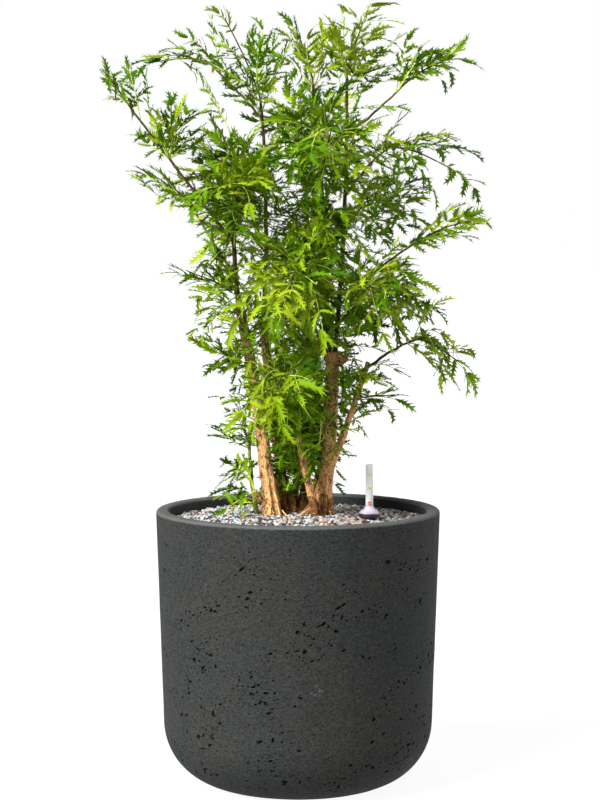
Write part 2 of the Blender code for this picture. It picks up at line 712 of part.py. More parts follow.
def grow_mass(mass):
    """The stem of a mass, then leaf after leaf, each reaching for the widest free place."""
    rng = random.Random(mass.name)
    radii = [mass.foot_radius, mass.foot_radius, TWIG_RADIUS, TWIG_RADIUS]
    shapes = [leafy_twig(mass.stem, radii, mass.tip, 0.0)]
    twigs = [Twig(mass.stem, radii)]
    twigs[0].nodes = nodes_along(mass.stem[1], mass.stem[2]) + nodes_along(mass.stem[2], mass.stem[3])
    blades = [(mass.stem[-1], mass.tip)]
    trees = [blade_tree(mass.stem[-1], mass.tip, 0.0)]
    leaves = max(LEAST_LEAVES, round(LEAVES_PER_GIRTH * mass.girth))
    for _ in range(leaves - 1):
        for goal in free_places(mass, rng, blades):
            distance, bearer, node = nearest_node(goal, twigs)
            if distance < LEAF_LEAST_LENGTH:
                continue
            line = reach_out(node, goal)
            widths = [TWIG_TIP_RADIUS] * len(line)
            roll = rng.uniform(-LEAF_ROLL, LEAF_ROLL)
            shape = leafy_twig(line, widths, goal, roll)
            own = tree_of(shape)
            crossing = [tree for tree in trees if own.overlap(tree)]
            crossing += [twig for twig in twigs if twig is not bearer and own.overlap(twig.tree)]
            if crossing or not fits(shape, mass):
                continue
            shapes.append(shape)
            bearer.nodes.remove(node)
            blades.append((line[-1], goal))
            trees.append(blade_tree(line[-1], goal, roll))
            if len(line) > 1:
                twigs.append(Twig(line, widths))
            break
    return shapes


def outer_shell(mesh):
    """Keep only the largest closed body of a mesh, without sealed hollows or loose scraps."""
    shape = bmesh.new()
    shape.from_mesh(mesh)
    remaining = set(shape.faces)
    groups = []
    while remaining:
        seed = remaining.pop()
        group = [seed]
        front = [seed]
        while front:
            for edge in front.pop().edges:
                for other in edge.link_faces:
                    if len(edge.link_faces) == 2 and other in remaining:
                        remaining.remove(other)
                        group.append(other)
                        front.append(other)
        groups.append(group)
    groups.sort(key=len)
    loose = [face for group in groups[:-1] for face in group]
    bmesh.ops.delete(shape, geom=loose, context="FACES")
    shape.to_mesh(mesh)
    shape.free()


def fuse(name, shapes):
    """Join closed shapes into one mesh by a single union."""
    group = bpy.data.collections.new(name + "_pieces")
    bpy.context.scene.collection.children.link(group)
    pieces = []
    for k, shape in enumerate(shapes):
        mesh = bpy.data.meshes.new(name + "_piece_" + str(k))
        shape.to_mesh(mesh)
        shape.free()
        pieces.append(bpy.data.objects.new(mesh.name, mesh))
    for piece in pieces[1:]:
        group.objects.link(piece)
    body = pieces[0]
    cutters.objects.link(body)
    union = body.modifiers.new("union", "BOOLEAN")
    union.operation = "UNION"
    union.operand_type = "COLLECTION"
    union.collection = group
    mesh = mesh_of(body)
    for piece in pieces:
        bpy.data.objects.remove(piece, do_unlink=True)
    bpy.data.collections.remove(group)
    outer_shell(mesh)
    return mesh


def grow_masses():
    """Every mass of foliage, each one fused body."""
    for row in MASSES:
        masses.append(Mass(*row))
    for name in guides:
        limb_trees.append(guide_tree(name))
    for mass in masses:
        thick = mass.foot_radius + 2 * CLEARANCE
        shape = leafy_twig(mass.stem, [thick] * len(mass.stem), mass.tip, 0.0)
        stem_trees.append((mass.name, tree_of(shape)))
    for mass in masses:
        shapes = grow_mass(mass)
        add_part(mass.name, fuse(mass.name, shapes), LEAF_GREEN, smooth=False)


clear_scene()
parts = new_collection("potted_ming_aralia")
cutters = new_collection("cutters")
limbs = {}
guides = {}
masses = []
limb_trees = []
stem_trees = []
make_pot()
make_gravel()
make_gauge()
grow_stems()
grow_boughs()
grow_masses()
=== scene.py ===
"""The looks of a potted ming aralia, built round the plant's solids.

Planter, gravel, water gauge, bark and foliage each have an operator of their own.
Metres, Z up. The foliage grows by the same seeded rule as the solids, carried on to compound fronds.
"""

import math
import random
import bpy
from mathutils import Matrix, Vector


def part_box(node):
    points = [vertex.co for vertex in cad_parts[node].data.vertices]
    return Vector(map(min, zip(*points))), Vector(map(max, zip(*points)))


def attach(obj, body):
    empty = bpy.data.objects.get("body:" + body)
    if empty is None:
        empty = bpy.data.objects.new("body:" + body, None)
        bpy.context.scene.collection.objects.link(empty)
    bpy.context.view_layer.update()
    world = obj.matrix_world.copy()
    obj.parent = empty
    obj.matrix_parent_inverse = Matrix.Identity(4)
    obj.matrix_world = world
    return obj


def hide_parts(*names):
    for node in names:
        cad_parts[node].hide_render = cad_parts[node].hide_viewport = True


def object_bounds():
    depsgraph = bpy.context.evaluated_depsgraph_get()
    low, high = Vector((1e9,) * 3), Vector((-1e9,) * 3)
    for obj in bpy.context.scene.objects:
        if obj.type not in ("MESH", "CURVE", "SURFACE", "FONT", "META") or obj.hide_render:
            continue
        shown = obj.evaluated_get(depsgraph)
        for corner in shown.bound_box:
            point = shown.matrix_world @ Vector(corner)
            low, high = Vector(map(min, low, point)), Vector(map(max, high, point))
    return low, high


bl_info = {
    "name": "Potted Ming Aralia",
    "version": (1, 0, 0),
    "blender": (4, 5, 0),
    "location": "3D View > Sidebar > Aralia",
    "description": "Planter, gravel, water gauge, bark and foliage of a potted ming aralia",
    "category": "Add Mesh",
}

from contextlib import contextmanager

import bmesh
import bpy
import numpy as np
from bpy.props import FloatProperty, FloatVectorProperty, IntProperty, PointerProperty
from mathutils import Vector, geometry, noise
from mathutils.bvhtree import BVHTree

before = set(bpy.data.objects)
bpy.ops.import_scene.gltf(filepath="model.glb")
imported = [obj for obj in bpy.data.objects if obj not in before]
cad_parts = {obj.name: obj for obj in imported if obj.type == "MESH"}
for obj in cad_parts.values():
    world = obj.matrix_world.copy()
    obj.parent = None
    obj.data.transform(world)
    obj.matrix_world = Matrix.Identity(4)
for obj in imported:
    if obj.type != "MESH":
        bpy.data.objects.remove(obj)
CAD_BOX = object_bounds()

BODY = "root"
UP = Vector((0.0, 0.0, 1.0))

# Planter and gravel, from the boxes of their solids and the same driving sizes.
POT_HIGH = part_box("pot")[1]
POT_RADIUS = POT_HIGH.x
POT_HEIGHT = POT_HIGH.z
POT_FOOT_RADIUS = 0.1617
POT_WALL = 0.016
POT_CORNER_RADIUS = 0.0755
RIM_ROUND = 0.004
RIM_FOOT = POT_HEIGHT - RIM_ROUND
GRAVEL_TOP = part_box("gravel")[1].z
GRAVEL_EDGE = 0.317
GAUGE = sum(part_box("gauge_collar"), Vector()) / 2
GRAVEL_SOLID = BVHTree.FromObject(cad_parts["gravel"], bpy.context.evaluated_depsgraph_get())

# How limbs are drawn: the stems start inside the gravel and flare at its top, and a mass's stem stands clear.
STEM_SINK = 0.012
STEM_FLARE_HEIGHT = 0.016
FLARE_RING = 0.55
STEM_RINGS = 10
BOUGH_RINGS = 6
CLEARANCE = 0.0003

# Stems: the foot (x, y) on the gravel, the tip, how far the middle bows aside, and the radii.
STEMS = (
    # name, foot, tip, bow, foot radius, tip radius, flare
    ("stem_right", (0.024, 0.0), (0.04, 0.004, 0.518), (0.006, 0, 0), 0.0086, 0.0082, 0.0105),
    ("stem_left", (-0.03, -0.004), (-0.07, -0.02, 0.575), (0.004, 0, 0), 0.0088, 0.0058, 0.003),
    ("stem_back_left", (-0.016, 0.026), (-0.043, 0.022, 0.553), (0.002, 0, 0), 0.0066, 0.0054, 0.0035),
    ("stem_back", (0.006, 0.04), (0.01, 0.062, 0.54), (0.004, 0.004, 0), 0.0062, 0.0048, 0.003),
    ("stem_middle", (0.0245, -0.021), (-0.014, -0.032, 0.486), (-0.001, 0, 0), 0.0048, 0.003, 0.0012),
    ("shoot_left", (-0.047, 0.008), (-0.059, 0.012, 0.42), (-0.003, 0, 0), 0.0027, 0.0018, 0.0006),
)

# Boughs: each leaves its bearer at a share of the bearer's length, and tapers from foot to tip.
LEFT_STUB = (0.004, 0.0034)
RIGHT_STUB = (0.0052, 0.0046)
OUTER_STEM = (0.0046, 0.0028)
LEADER = (0.0032, 0.0017)
BOUGH = (0.002, 0.0012)
THIN_BOUGH = (0.0016, 0.001)

BOUGHS = (
    # name, bearer, share, tip, bow, radii at foot and tip
    ("stub_left", "stem_left", 0.08, (-0.053, -0.014, 0.353), (0, 0, 0), LEFT_STUB),
    ("stub_right", "stem_right", 0.93, (0.058, -0.004, 0.512), (0, 0, 0), RIGHT_STUB),
    ("stem_outer", "stem_right", 0.3, (0.083, -0.02, 0.507), (0.003, 0, 0.004), OUTER_STEM),
    ("leader_left", "stem_left", 0.97, (-0.07, -0.024, 0.76), (-0.007, 0, 0), LEADER),
    ("leader_back_left", "stem_back_left", 0.97, (-0.044, -0.01, 0.812), (0.005, 0.012, 0), LEADER),
    ("leader_centre", "stem_right", 0.98, (0.018, 0.014, 0.836), (0.004, -0.004, 0), LEADER),
    ("leader_right", "stem_right", 0.98, (0.058, -0.004, 0.842), (0.004, 0.008, 0), LEADER),
    ("leader_back", "stem_back", 0.97, (0.006, 0.088, 0.748), (0.004, 0.002, 0), LEADER),
    ("bough_far_left", "leader_left", 0.42, (-0.197, -0.042, 0.808), (0.004, 0, -0.006), BOUGH),
    ("bough_left", "leader_left", 0.22, (-0.122, 0.0, 0.685), (0, 0, -0.003), BOUGH),
    ("bough_top_left", "leader_back_left", 0.93, (-0.102, 0.01, 0.858), (0.004, 0, -0.002), THIN_BOUGH),
    ("bough_right_low", "leader_right", 0.18, (0.134, -0.025, 0.645), (0, 0, 0.005), BOUGH),
    ("bough_right", "leader_right", 0.58, (0.105, 0.022, 0.759), (0, 0, 0.004), BOUGH),
    ("bough_top_right", "leader_right", 0.8, (0.122, -0.02, 0.831), (0, 0, -0.003), THIN_BOUGH),
    ("bough_droop", "stem_outer", 0.93, (0.136, -0.022, 0.532), (0, 0, 0.004), BOUGH),
    ("bough_front", "leader_centre", 0.15, (0.004, -0.078, 0.62), (0, 0, -0.006), BOUGH),
    ("bough_front_right", "leader_right", 0.12, (0.074, -0.076, 0.592), (0, 0, -0.006), BOUGH),
    ("bough_back_left", "leader_back", 0.25, (-0.062, 0.124, 0.664), (0, 0, -0.006), BOUGH),
    ("bough_back_right", "leader_back", 0.4, (0.08, 0.116, 0.694), (0, 0, -0.006), BOUGH),
    ("bough_back_low", "stem_back", 0.62, (0.014, 0.118, 0.52), (0, 0, -0.006), BOUGH),
)
BESIDE = {
    "stem_outer": (0.0, -0.001),
    "leader_centre": (-0.0045, -0.001),
    "leader_right": (0.004, 0.002),
}

# Foliage: each mass grows from its bearer towards its furthest tip, within its own girth. Its fullness is a
# share of the usual number of fronds, its sag how far they reach below its middle line as a share of the
# girth, and its leaflets are a share of the usual length.
MASSES = (
    # name, bearer, share, furthest tip, girth, fullness, sag, leaflets
    ("top", "leader_right", 1.0, (0.087, -0.034, 0.927), 0.048, 0.4, 1.0, 1.0),
    ("top_middle", "leader_centre", 1.0, (-0.008, 0.05, 0.913), 0.056, 0.34, 0.6, 0.92),
    ("top_left", "leader_back_left", 1.0, (-0.094, -0.044, 0.918), 0.048, 0.46, 1.0, 0.85),
    ("far_top_left", "bough_top_left", 1.0, (-0.197, 0.028, 0.853), 0.022, 0.28, 0.1, 0.95),
    ("far_left", "bough_far_left", 1.0, (-0.233, -0.05, 0.85), 0.022, 0.7, 0.3, 0.95),
    ("left_high", "bough_far_left", 0.66, (-0.15, -0.012, 0.814), 0.043, 0.9, 0.2, 0.9),
    ("left", "bough_left", 1.0, (-0.19, 0.034, 0.733), 0.036, 0.6, 0.1, 0.9),
    ("top_right", "bough_top_right", 1.0, (0.194, -0.036, 0.863), 0.029, 0.4, -0.3, 0.9),
    ("right", "bough_right", 1.0, (0.217, 0.044, 0.712), 0.05, 0.27, 0.5, 1.1),
    ("right_low", "bough_right_low", 1.0, (0.229, -0.042, 0.675), 0.035, 0.42, 0.0, 1.05),
    ("droop", "bough_droop", 1.0, (0.205, -0.03, 0.491), 0.036, 0.45, 0.4, 1.2),
    ("left_low", "leader_left", 0.14, (-0.142, -0.042, 0.613), 0.052, 0.46, 0.4, 1.0),
    ("left_lower", "stem_left", 0.76, (-0.109, -0.046, 0.528), 0.052, 0.34, 0.2, 1.0),
    ("foot_left", "shoot_left", 1.0, (-0.101, -0.01, 0.427), 0.042, 0.18, 1.0, 0.8),
    ("front_low", "stem_middle", 1.0, (-0.026, -0.146, 0.466), 0.064, 0.85, 1.0, 0.9),
    ("front", "bough_front", 1.0, (-0.01, -0.17, 0.588), 0.07, 0.92, 1.0, 1.0),
    ("front_left", "leader_left", 0.58, (-0.067, -0.13, 0.741), 0.066, 1.0, 1.0, 1.0),
    ("front_right", "bough_front_right", 1.0, (0.099, -0.15, 0.584), 0.062, 0.7, 1.0, 1.0),
    ("front_high", "leader_centre", 0.66, (0.044, -0.14, 0.788), 0.072, 0.85, 1.0, 1.0),
    ("middle", "leader_centre", 0.44, (0.023, -0.118, 0.671), 0.062, 1.0, 1.0, 1.0),
    ("low_right", "stem_outer", 0.72, (0.12, -0.046, 0.464), 0.04, 0.22, -0.1, 0.9),
    ("low_front", "stem_right", 0.58, (0.019, -0.085, 0.448), 0.054, 0.55, 1.0, 0.85),
    ("back_left", "bough_back_left", 1.0, (-0.124, 0.162, 0.675), 0.066, 0.6, 1.0, 1.0),
    ("back_right", "bough_back_right", 1.0, (0.148, 0.166, 0.69), 0.066, 0.85, 1.0, 1.0),
    ("back_high", "leader_back", 1.0, (0.002, 0.14, 0.846), 0.072, 0.75, 1.0, 1.0),
    ("back_low", "bough_back_low", 1.0, (0.012, 0.182, 0.5), 0.064, 1.0, 1.0, 1.0),
    ("inner_left", "leader_back_left", 0.62, (-0.13, 0.066, 0.764), 0.066, 1.0, 1.0, 1.0),
    ("inner_right", "leader_right", 0.24, (0.171, 0.03, 0.565), 0.054, 1.0, 1.0, 1.0),
    ("heart", "leader_centre", 0.3, (-0.038, -0.074, 0.55), 0.062, 0.8, 1.0, 1.0),
)

# The masses whose leaves are joined into one piece.
LEAF_GROUPS = {
    "top": ("top", "top_middle", "top_left"),
    "left": ("far_top_left", "far_left", "left_high", "left", "inner_left"),
    "right": ("top_right", "right", "right_low", "inner_right"),
    "low_left": ("left_low", "left_lower", "foot_left", "front_low"),
    "low_right": ("droop", "low_right", "low_front", "heart"),
    "front": ("front", "front_left", "front_right", "front_high", "middle"),
    "back": ("back_left", "back_right", "back_high", "back_low"),
}

FOLIAGE_FLOOR = GRAVEL_TOP + 0.01
SPACE_MARGIN = 0.0012
MASS_OVERRUN = 0.16
TIP_MARGIN = 0.001
NECK_LENGTH = 0.007
STEM_BENDS = (0.3, 0.6)
STEM_LIFT = 0.08
NODE_SPACING = 0.0042


class Signal:
    """A number that a socket gives. Python's operators on it write the Math nodes."""

    def __init__(self, wiring, socket):
        self.wiring = wiring
        self.socket = socket

    def math(self, operation, first, second=0.0):
        """The result of one Math node."""
        inputs = {0: first, 1: second}
        return Signal(self.wiring, self.wiring.out("ShaderNodeMath", {"operation": operation}, inputs))

    def __add__(self, other):
        return self.math("ADD", self, other)

    def __sub__(self, other):
        return self.math("SUBTRACT", self, other)

    def __rsub__(self, other):
        return self.math("SUBTRACT", other, self)

    def __mul__(self, other):
        return self.math("MULTIPLY", self, other)

    __radd__ = __add__
    __rmul__ = __mul__

    def above(self, limit):
        """1 where the number is above a limit, and 0 elsewhere."""
        return self.math("GREATER_THAN", self, limit)

    def least(self, other):
        """The lesser of this and another number."""
        return self.math("MINIMUM", self, other)


class Wiring:
    """A node tree under construction."""

    def __init__(self, tree):
        self.tree = tree

    def feed(self, socket, value):
        """Link a socket to a signal or another socket, or give it a plain value."""
        if isinstance(value, Signal):
            value = value.socket
        if isinstance(value, bpy.types.NodeSocket):
            self.tree.links.new(value, socket)
        else:
            socket.default_value = value

    def node(self, kind, settings=None, inputs=None):
        """Add one node: its settings first, then the values or links of its sockets."""
        made = self.tree.nodes.new(kind)
        for key, value in (settings or {}).items():
            if key == "stops":
                self.set_stops(made.color_ramp, value)
            else:
                setattr(made, key, value)
        for key, value in (inputs or {}).items():
            self.feed(made.inputs[key], value)
        return made

    def out(self, kind, settings=None, inputs=None, socket=0):
        """One output of a new node."""
        return self.node(kind, settings, inputs).outputs[socket]

    def vector(self, operation, inputs):
        """The result of one Vector Math node."""
        return self.out("ShaderNodeVectorMath", {"operation": operation}, inputs)

    def set_stops(self, ramp, stops):
        """Give a colour ramp its stops, as (position, colour) pairs."""
        while len(ramp.elements) < len(stops):
            ramp.elements.new(1.0)
        for element, (position, colour) in zip(ramp.elements, stops):
            element.position = position
            element.color = opaque(colour)


class Finish(Wiring):
    """A material under construction: its Principled shader and what feeds it."""

    def __init__(self, name, roughness, gloss=0.5, alpha=1.0):
        self.material = bpy.data.materials.new(name)
        self.material.use_nodes = True
        super().__init__(self.material.node_tree)
        self.shader = self.tree.nodes["Principled BSDF"]
        self.surface("Roughness", roughness)
        self.surface("Specular IOR Level", gloss)
        self.surface("Alpha", alpha)
        self.place = self.out("ShaderNodeTexCoord", socket="Object")

    def surface(self, name, value):
        """Feed one input of the shader."""
        self.feed(self.shader.inputs[name], value)

    def colour(self, colour):
        """Feed the base colour."""
        self.surface("Base Color", opaque(colour))

    def stretched(self, scale):
        """The place on the piece, with each axis multiplied."""
        return self.out("ShaderNodeMapping", {}, {"Vector": self.place, "Scale": scale})

    def grain(self, scale, detail=2.0, place=None, distortion=0.0):
        """Cloudy noise between 0 and 1, finer as the scale grows."""
        inputs = {"Vector": place or self.place, "Scale": scale, "Detail": detail, "Distortion": distortion}
        return Signal(self, self.out("ShaderNodeTexNoise", {}, inputs))

    def cells(self, scale):
        """The distance from the nearest of scattered points."""
        inputs = {"Vector": self.place, "Scale": scale}
        return Signal(self, self.out("ShaderNodeTexVoronoi", {}, inputs, "Distance"))

    def height(self):
        """How high a place is, in metres."""
        return Signal(self, self.out("ShaderNodeSeparateXYZ", {}, {0: self.place}, "Z"))

    def ramp(self, amount, *stops):
        """A colour read from stops by an amount."""
        return self.out("ShaderNodeValToRGB", {"stops": stops}, {0: amount})

    def mottled(self, amount, *stops):
        """The material, with a base colour read from stops by an amount."""
        self.colour(self.ramp(amount, *stops))
        return self.material

    def blend(self, share, first, second):
        """The first colour turning into the second as the share goes from 0 to 1."""
        inputs = {0: share, 6: opaque(first), 7: opaque(second)}
        return self.out("ShaderNodeMix", {"data_type": "RGBA"}, inputs, 2)

    def scaled(self, colour, amount):
        """A colour made darker or lighter by an amount that varies."""
        return self.vector("SCALE", {0: colour, "Scale": amount})

    def relief(self, amount, strength, distance):
        """Feed the normal from a height."""
        inputs = {"Height": amount, "Strength": strength, "Distance": distance}
        self.surface("Normal", self.out("ShaderNodeBump", {}, inputs))


def opaque(colour):
    """A plain colour with an alpha of 1; a socket stays as it is."""
    if isinstance(colour, bpy.types.NodeSocket):
        return colour
    return tuple(colour)[:3] + (1.0,)


def shade(colour, factor):
    """A colour made darker or lighter by a factor."""
    return tuple(min(1.0, part * factor) for part in tuple(colour)[:3])


def between(first, second, share):
    """The point or colour a share of the way from the first to the second."""
    return tuple(a + (b - a) * share for a, b in zip(first, second))


def colour_setting(name, description, default):
    """A setting that holds a colour."""
    return FloatVectorProperty(
        name=name, description=description, default=default, subtype="COLOR", size=3, min=0.0, max=1.0,
    )


def length_setting(name, description, default):
    """A setting that holds a length."""
    return FloatProperty(name=name, description=description, default=default, min=0.0, unit="LENGTH")


def number_setting(name, description, default, most=1000.0):
    """A setting that holds a number from 0 up."""
    return FloatProperty(name=name, description=description, default=default, min=0.0, max=most)


def count_setting(name, description, default):
    """A setting that holds a whole number."""
    return IntProperty(name=name, description=description, default=default, min=0)


def add_object(name, data):
    """A new object in the scene."""
    item = bpy.data.objects.new(name, data)
    bpy.context.scene.collection.objects.link(item)
    return item


def add_piece(name, mesh, materials, nodes=()):
    """Put a finished mesh in the scene as a piece that stands for the named solids."""
    mesh.name = name
    slots = np.zeros(len(mesh.polygons), np.int32)
    mesh.polygons.foreach_get("material_index", slots)
    mesh.materials.clear()
    for material in materials:
        mesh.materials.append(material)
    if len(materials) > 1:
        mesh.polygons.foreach_set("material_index", slots)
    piece = add_object(name, mesh)
    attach(piece, BODY)
    if nodes:
        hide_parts(*nodes)


def mesh_from(points, faces, slots=None, smooth=True):
    """A mesh from arrays of corners and of triangles or quads."""
    mesh = bpy.data.meshes.new("piece")
    points = np.asarray(points, np.float32).reshape(-1, 3)
    faces = np.asarray(faces, np.int32)
    mesh.vertices.add(len(points))
    mesh.vertices.foreach_set("co", points.ravel())
    mesh.loops.add(faces.size)
    mesh.loops.foreach_set("vertex_index", faces.ravel())
    mesh.polygons.add(len(faces))
    mesh.polygons.foreach_set("loop_start", np.arange(len(faces), dtype=np.int32) * faces.shape[1])
    if slots is not None:
        mesh.polygons.foreach_set("material_index", np.asarray(slots, np.int32))
    mesh.polygons.foreach_set("use_smooth", np.full(len(faces), smooth))
    mesh.update(calc_edges=True)
    mesh.validate()
    return mesh


@contextmanager
def reshaped(mesh):
    """A mesh opened for editing, and written back at the end."""
    shape = bmesh.new()
    shape.from_mesh(mesh)
    yield shape
    shape.to_mesh(mesh)
    shape.free()


def crease(mesh, degrees):
    """Sharpen a mesh's edges above an angle."""
    mesh.set_sharp_from_angle(angle=math.radians(degrees))
    return mesh


def arc(centre, radius, start, stop, steps):
    """Points of a circular arc in the profile plane, from start to stop in degrees."""
    angles = [math.radians(start + (stop - start) * k / steps) for k in range(steps + 1)]
    return [(centre[0] + radius * math.cos(a), centre[1] + radius * math.sin(a)) for a in angles]


def round_ring(sides):
    """The angles of the corners of a ring."""
    return [2.0 * math.pi * k / sides for k in range(sides)]


def band(low, high, sides):
    """The quads between two rings, given by the number of each one's first corner."""
    return [(low + j, low + (j + 1) % sides, high + (j + 1) % sides, high + j) for j in range(sides)]


def lathe(profile, sides, closed=False):
    """Corners and quads of a profile of (radius, height) pairs swept round the Z axis."""
    angles = np.arange(sides) * 2.0 * math.pi / sides
    profile = np.asarray(profile, float)
    radii, heights = profile[:, 0], profile[:, 1]
    x = radii[:, None] * np.cos(angles)
    y = radii[:, None] * np.sin(angles)
    z = np.broadcast_to(heights[:, None], x.shape)
    points = np.stack([x, y, z], -1).reshape(-1, 3)
    rows = len(profile) if closed else len(profile) - 1
    k, j = np.meshgrid(np.arange(rows), np.arange(sides), indexing="ij")
    below, beside = (k + 1) % len(profile), (j + 1) % sides
    faces = [k * sides + j, below * sides + j, below * sides + beside, k * sides + beside]
    return points, np.stack(faces, -1).reshape(-1, 4)


def turned_mesh(profile, sides, place=(0.0, 0.0, 0.0), closed=False):
    """A welded mesh of a turned shape, moved to its place, with its normals outside."""
    points, faces = lathe(profile, sides, closed)
    mesh = mesh_from(points + np.asarray(place), faces)
    with reshaped(mesh) as shape:
        bmesh.ops.remove_doubles(shape, verts=shape.verts, dist=0.00001)
        bmesh.ops.recalc_face_normals(shape, faces=shape.faces)
    return crease(mesh, 38)


# Planter

class PlanterLooks(bpy.types.PropertyGroup):
    """Sizes and colours of the planter."""

    colour: colour_setting("Cement", "Colour of the fibre cement", (0.0172, 0.0182, 0.0174))
    pits: count_setting("Pits", "How many air holes the outside has", 3400)
    pit_depth: length_setting("Pit Depth", "Depth of the largest air holes", 0.0022)
    seed: count_setting("Seed", "Start of the random places of the pits", 11)


BLUE_CAST = (0.9, 0.96, 1.0)
OLIVE_CAST = (1.05, 1.02, 0.96)
SCUFF_COLOUR = (0.11, 0.13, 0.14)
WALL_STEP = 0.006
UNDULATION = 0.00035
LIP_DEPTH = 0.045
LIP_ROWS = 24
# Air holes: the corners of each, the clusters of the long ones, the shares of long and of other clustered
# ones, half the length of the least long one, the border with none, the grid that keeps them apart, and
# how wide a hole's floor is as a share of its mouth.
PIT_ROUNDNESS = 9
PIT_CLUSTERS = 150
LONG_SHARE = 0.4
CLUSTERED_SHARE = 0.35
LONG_PIT = 0.0013
PIT_BORDER = 0.006
PIT_GRID = 0.004
PIT_FLOOR = 0.78


def outer_profile():
    """The planter's outside as (radius, height) pairs, from under the rim downwards."""
    slope = math.degrees(math.atan2(POT_RADIUS - POT_FOOT_RADIUS, RIM_FOOT - POT_CORNER_RADIUS))
    centre = (POT_FOOT_RADIUS - POT_CORNER_RADIUS, POT_CORNER_RADIUS)
    corner = arc(centre, POT_CORNER_RADIUS, -slope, -90.0, 24)
    steps = round((RIM_FOOT - corner[0][1]) / WALL_STEP)
    return [between((POT_RADIUS, RIM_FOOT), corner[0], k / steps) for k in range(steps)] + corner


class Unrolled:
    """The planter's outside laid flat: along is the way round, down the way down its profile."""

    def __init__(self):
        profile = np.array(outer_profile())
        self.columns = profile.T.copy()
        self.downs = np.concatenate([[0.0], np.cumsum(np.hypot(*np.diff(profile, axis=0).T))])
        self.width = 2.0 * math.pi * POT_RADIUS
        self.length = self.downs[-1]

    def at(self, down):
        """The radius and height at a way down the profile."""
        return [np.interp(down, self.downs, column) for column in self.columns]

    def place(self, along, down, depth, step=0.001):
        """The point of space for a flat place, sunk by a depth."""
        radius, height = self.at(down)
        (outer, upper), (inner, lower) = self.at(down - step), self.at(down + step)
        ahead, fall = inner - outer, upper - lower
        slope = math.hypot(ahead, fall)
        radius -= depth * fall / slope
        height -= depth * ahead / slope
        angle = along / POT_RADIUS
        return radius * math.cos(angle), radius * math.sin(angle), height


def pit_places(looks, flat, rng):
    """Places, sizes and leans of the air holes: many small ones, and fewer long ones in clusters."""
    side, foot = flat.width - PIT_BORDER, flat.length - PIT_BORDER
    clusters = [
        (rng.uniform(0, flat.width), rng.uniform(0.03, flat.length * 0.86)) for _ in range(PIT_CLUSTERS)
    ]
    pits, taken = [], {}
    for _ in range(looks.pits * 6):
        if len(pits) == looks.pits:
            break
        long_one = rng.random() < LONG_SHARE
        if long_one or rng.random() < CLUSTERED_SHARE:
            middle = rng.choice(clusters)
            drift = rng.gauss(0.0, 0.015)
            along = middle[0] + drift
            down = middle[1] - 0.35 * drift + rng.gauss(0.0, 0.006)
        else:
            along, down = rng.uniform(0, flat.width), rng.uniform(PIT_GRID, foot)
        half = LONG_PIT + 0.003 * rng.random() ** 1.8 if long_one else rng.uniform(0.0005, 0.0012)
        thin = half * (rng.uniform(0.32, 0.66) if long_one else rng.uniform(0.6, 1.0))
        if not (PIT_BORDER < along < side and PIT_GRID < down < foot):
            continue
        row, column = round(along / PIT_GRID), round(down / PIT_GRID)
        near = [taken.get((row + i, column + j)) for i in (-1, 0, 1) for j in (-1, 0, 1)]
        if any(pit and math.hypot(along - pit[0], down - pit[1]) < half + pit[2] + 0.0004 for pit in near):
            continue
        taken[row, column] = (along, down, half)
        pits.append((along, down, half, thin, rng.gauss(-0.3, 0.5)))
    return pits


def pit_ring(pit, scale, ragged, depth):
    """Corners of a pit's ragged outline, each as (along, down, depth)."""
    along, down, half, thin, lean = pit
    cosine, sine = math.cos(lean), math.sin(lean)
    ring = []
    for angle, part in zip(round_ring(PIT_ROUNDNESS), ragged):
        x, y = half * (scale * part) * math.cos(angle), thin * (scale * part) * math.sin(angle)
        ring.append((along + x * cosine - y * sine, down + x * sine + y * cosine, depth))
    return ring


def wall_corners(looks, flat, rng):
    """Corners of the wall, each as (along, down, depth): a grid with room for the pits, and their rings."""
    rings, blocked = [], {}
    for pit in pit_places(looks, flat, rng):
        ragged = [rng.uniform(0.6, 1.35) for _ in range(PIT_ROUNDNESS)]
        depth = looks.pit_depth * min(1.0, pit[2] / 0.0018 + 0.25)
        rings += pit_ring(pit, 1.0, ragged, 0.0) + pit_ring(pit, PIT_FLOOR, ragged, depth)
        row, column = int(pit[0] / WALL_STEP), int(pit[1] / WALL_STEP)
        for i in (-1, 0, 1):
            for j in (-1, 0, 1):
                blocked.setdefault((row + i, column + j), []).append(pit)
    columns = round(flat.width / WALL_STEP)
    corners = []
    for down in flat.downs:
        for k in range(columns + 1):
            along = flat.width * k / columns
            near = blocked.get((int(along / WALL_STEP), int(down / WALL_STEP)), ())
            if all(math.hypot(along - pit[0], down - pit[1]) >= pit[2] * 1.45 for pit in near):
                corners.append((along, down, 0.0))
    return corners + rings


def wall_mesh(looks):
    """The outside of the planter, a slightly uneven skin with real air holes in it."""
    flat = Unrolled()
    corners = wall_corners(looks, flat, random.Random(looks.seed))
    found = geometry.delaunay_2d_cdt([Vector(corner[:2]) for corner in corners], [], [], 0, 0.00002)
    corners = [corners[origin[0]] for origin in found[3]]
    points = []
    for along, down, depth in corners:
        angle = along / POT_RADIUS
        around = Vector((math.cos(angle), math.sin(angle), down * 6.0))
        swell = UNDULATION * noise.noise(around * 3.0) * min(1.0, down / 0.02)
        points.append(flat.place(along, down, depth + abs(swell)))
    # Faces sunk into a pit take the second material, painted shade inside the hole.
    slots = [int(sum(corners[k][2] > 0.0 for k in face) >= 2) for face in found[2]]
    mesh = mesh_from(points, found[2], slots)
    with reshaped(mesh) as shape:
        bmesh.ops.remove_doubles(shape, verts=shape.verts, dist=0.00003)
        for face in shape.faces:
            middle = face.calc_center_median()
            outward = Vector((middle.x, middle.y, min(0.0, middle.z - POT_CORNER_RADIUS)))
            if face.normal.dot(outward) < 0.0 and face.material_index == 0:
                face.normal_flip()
    return crease(mesh, 34)


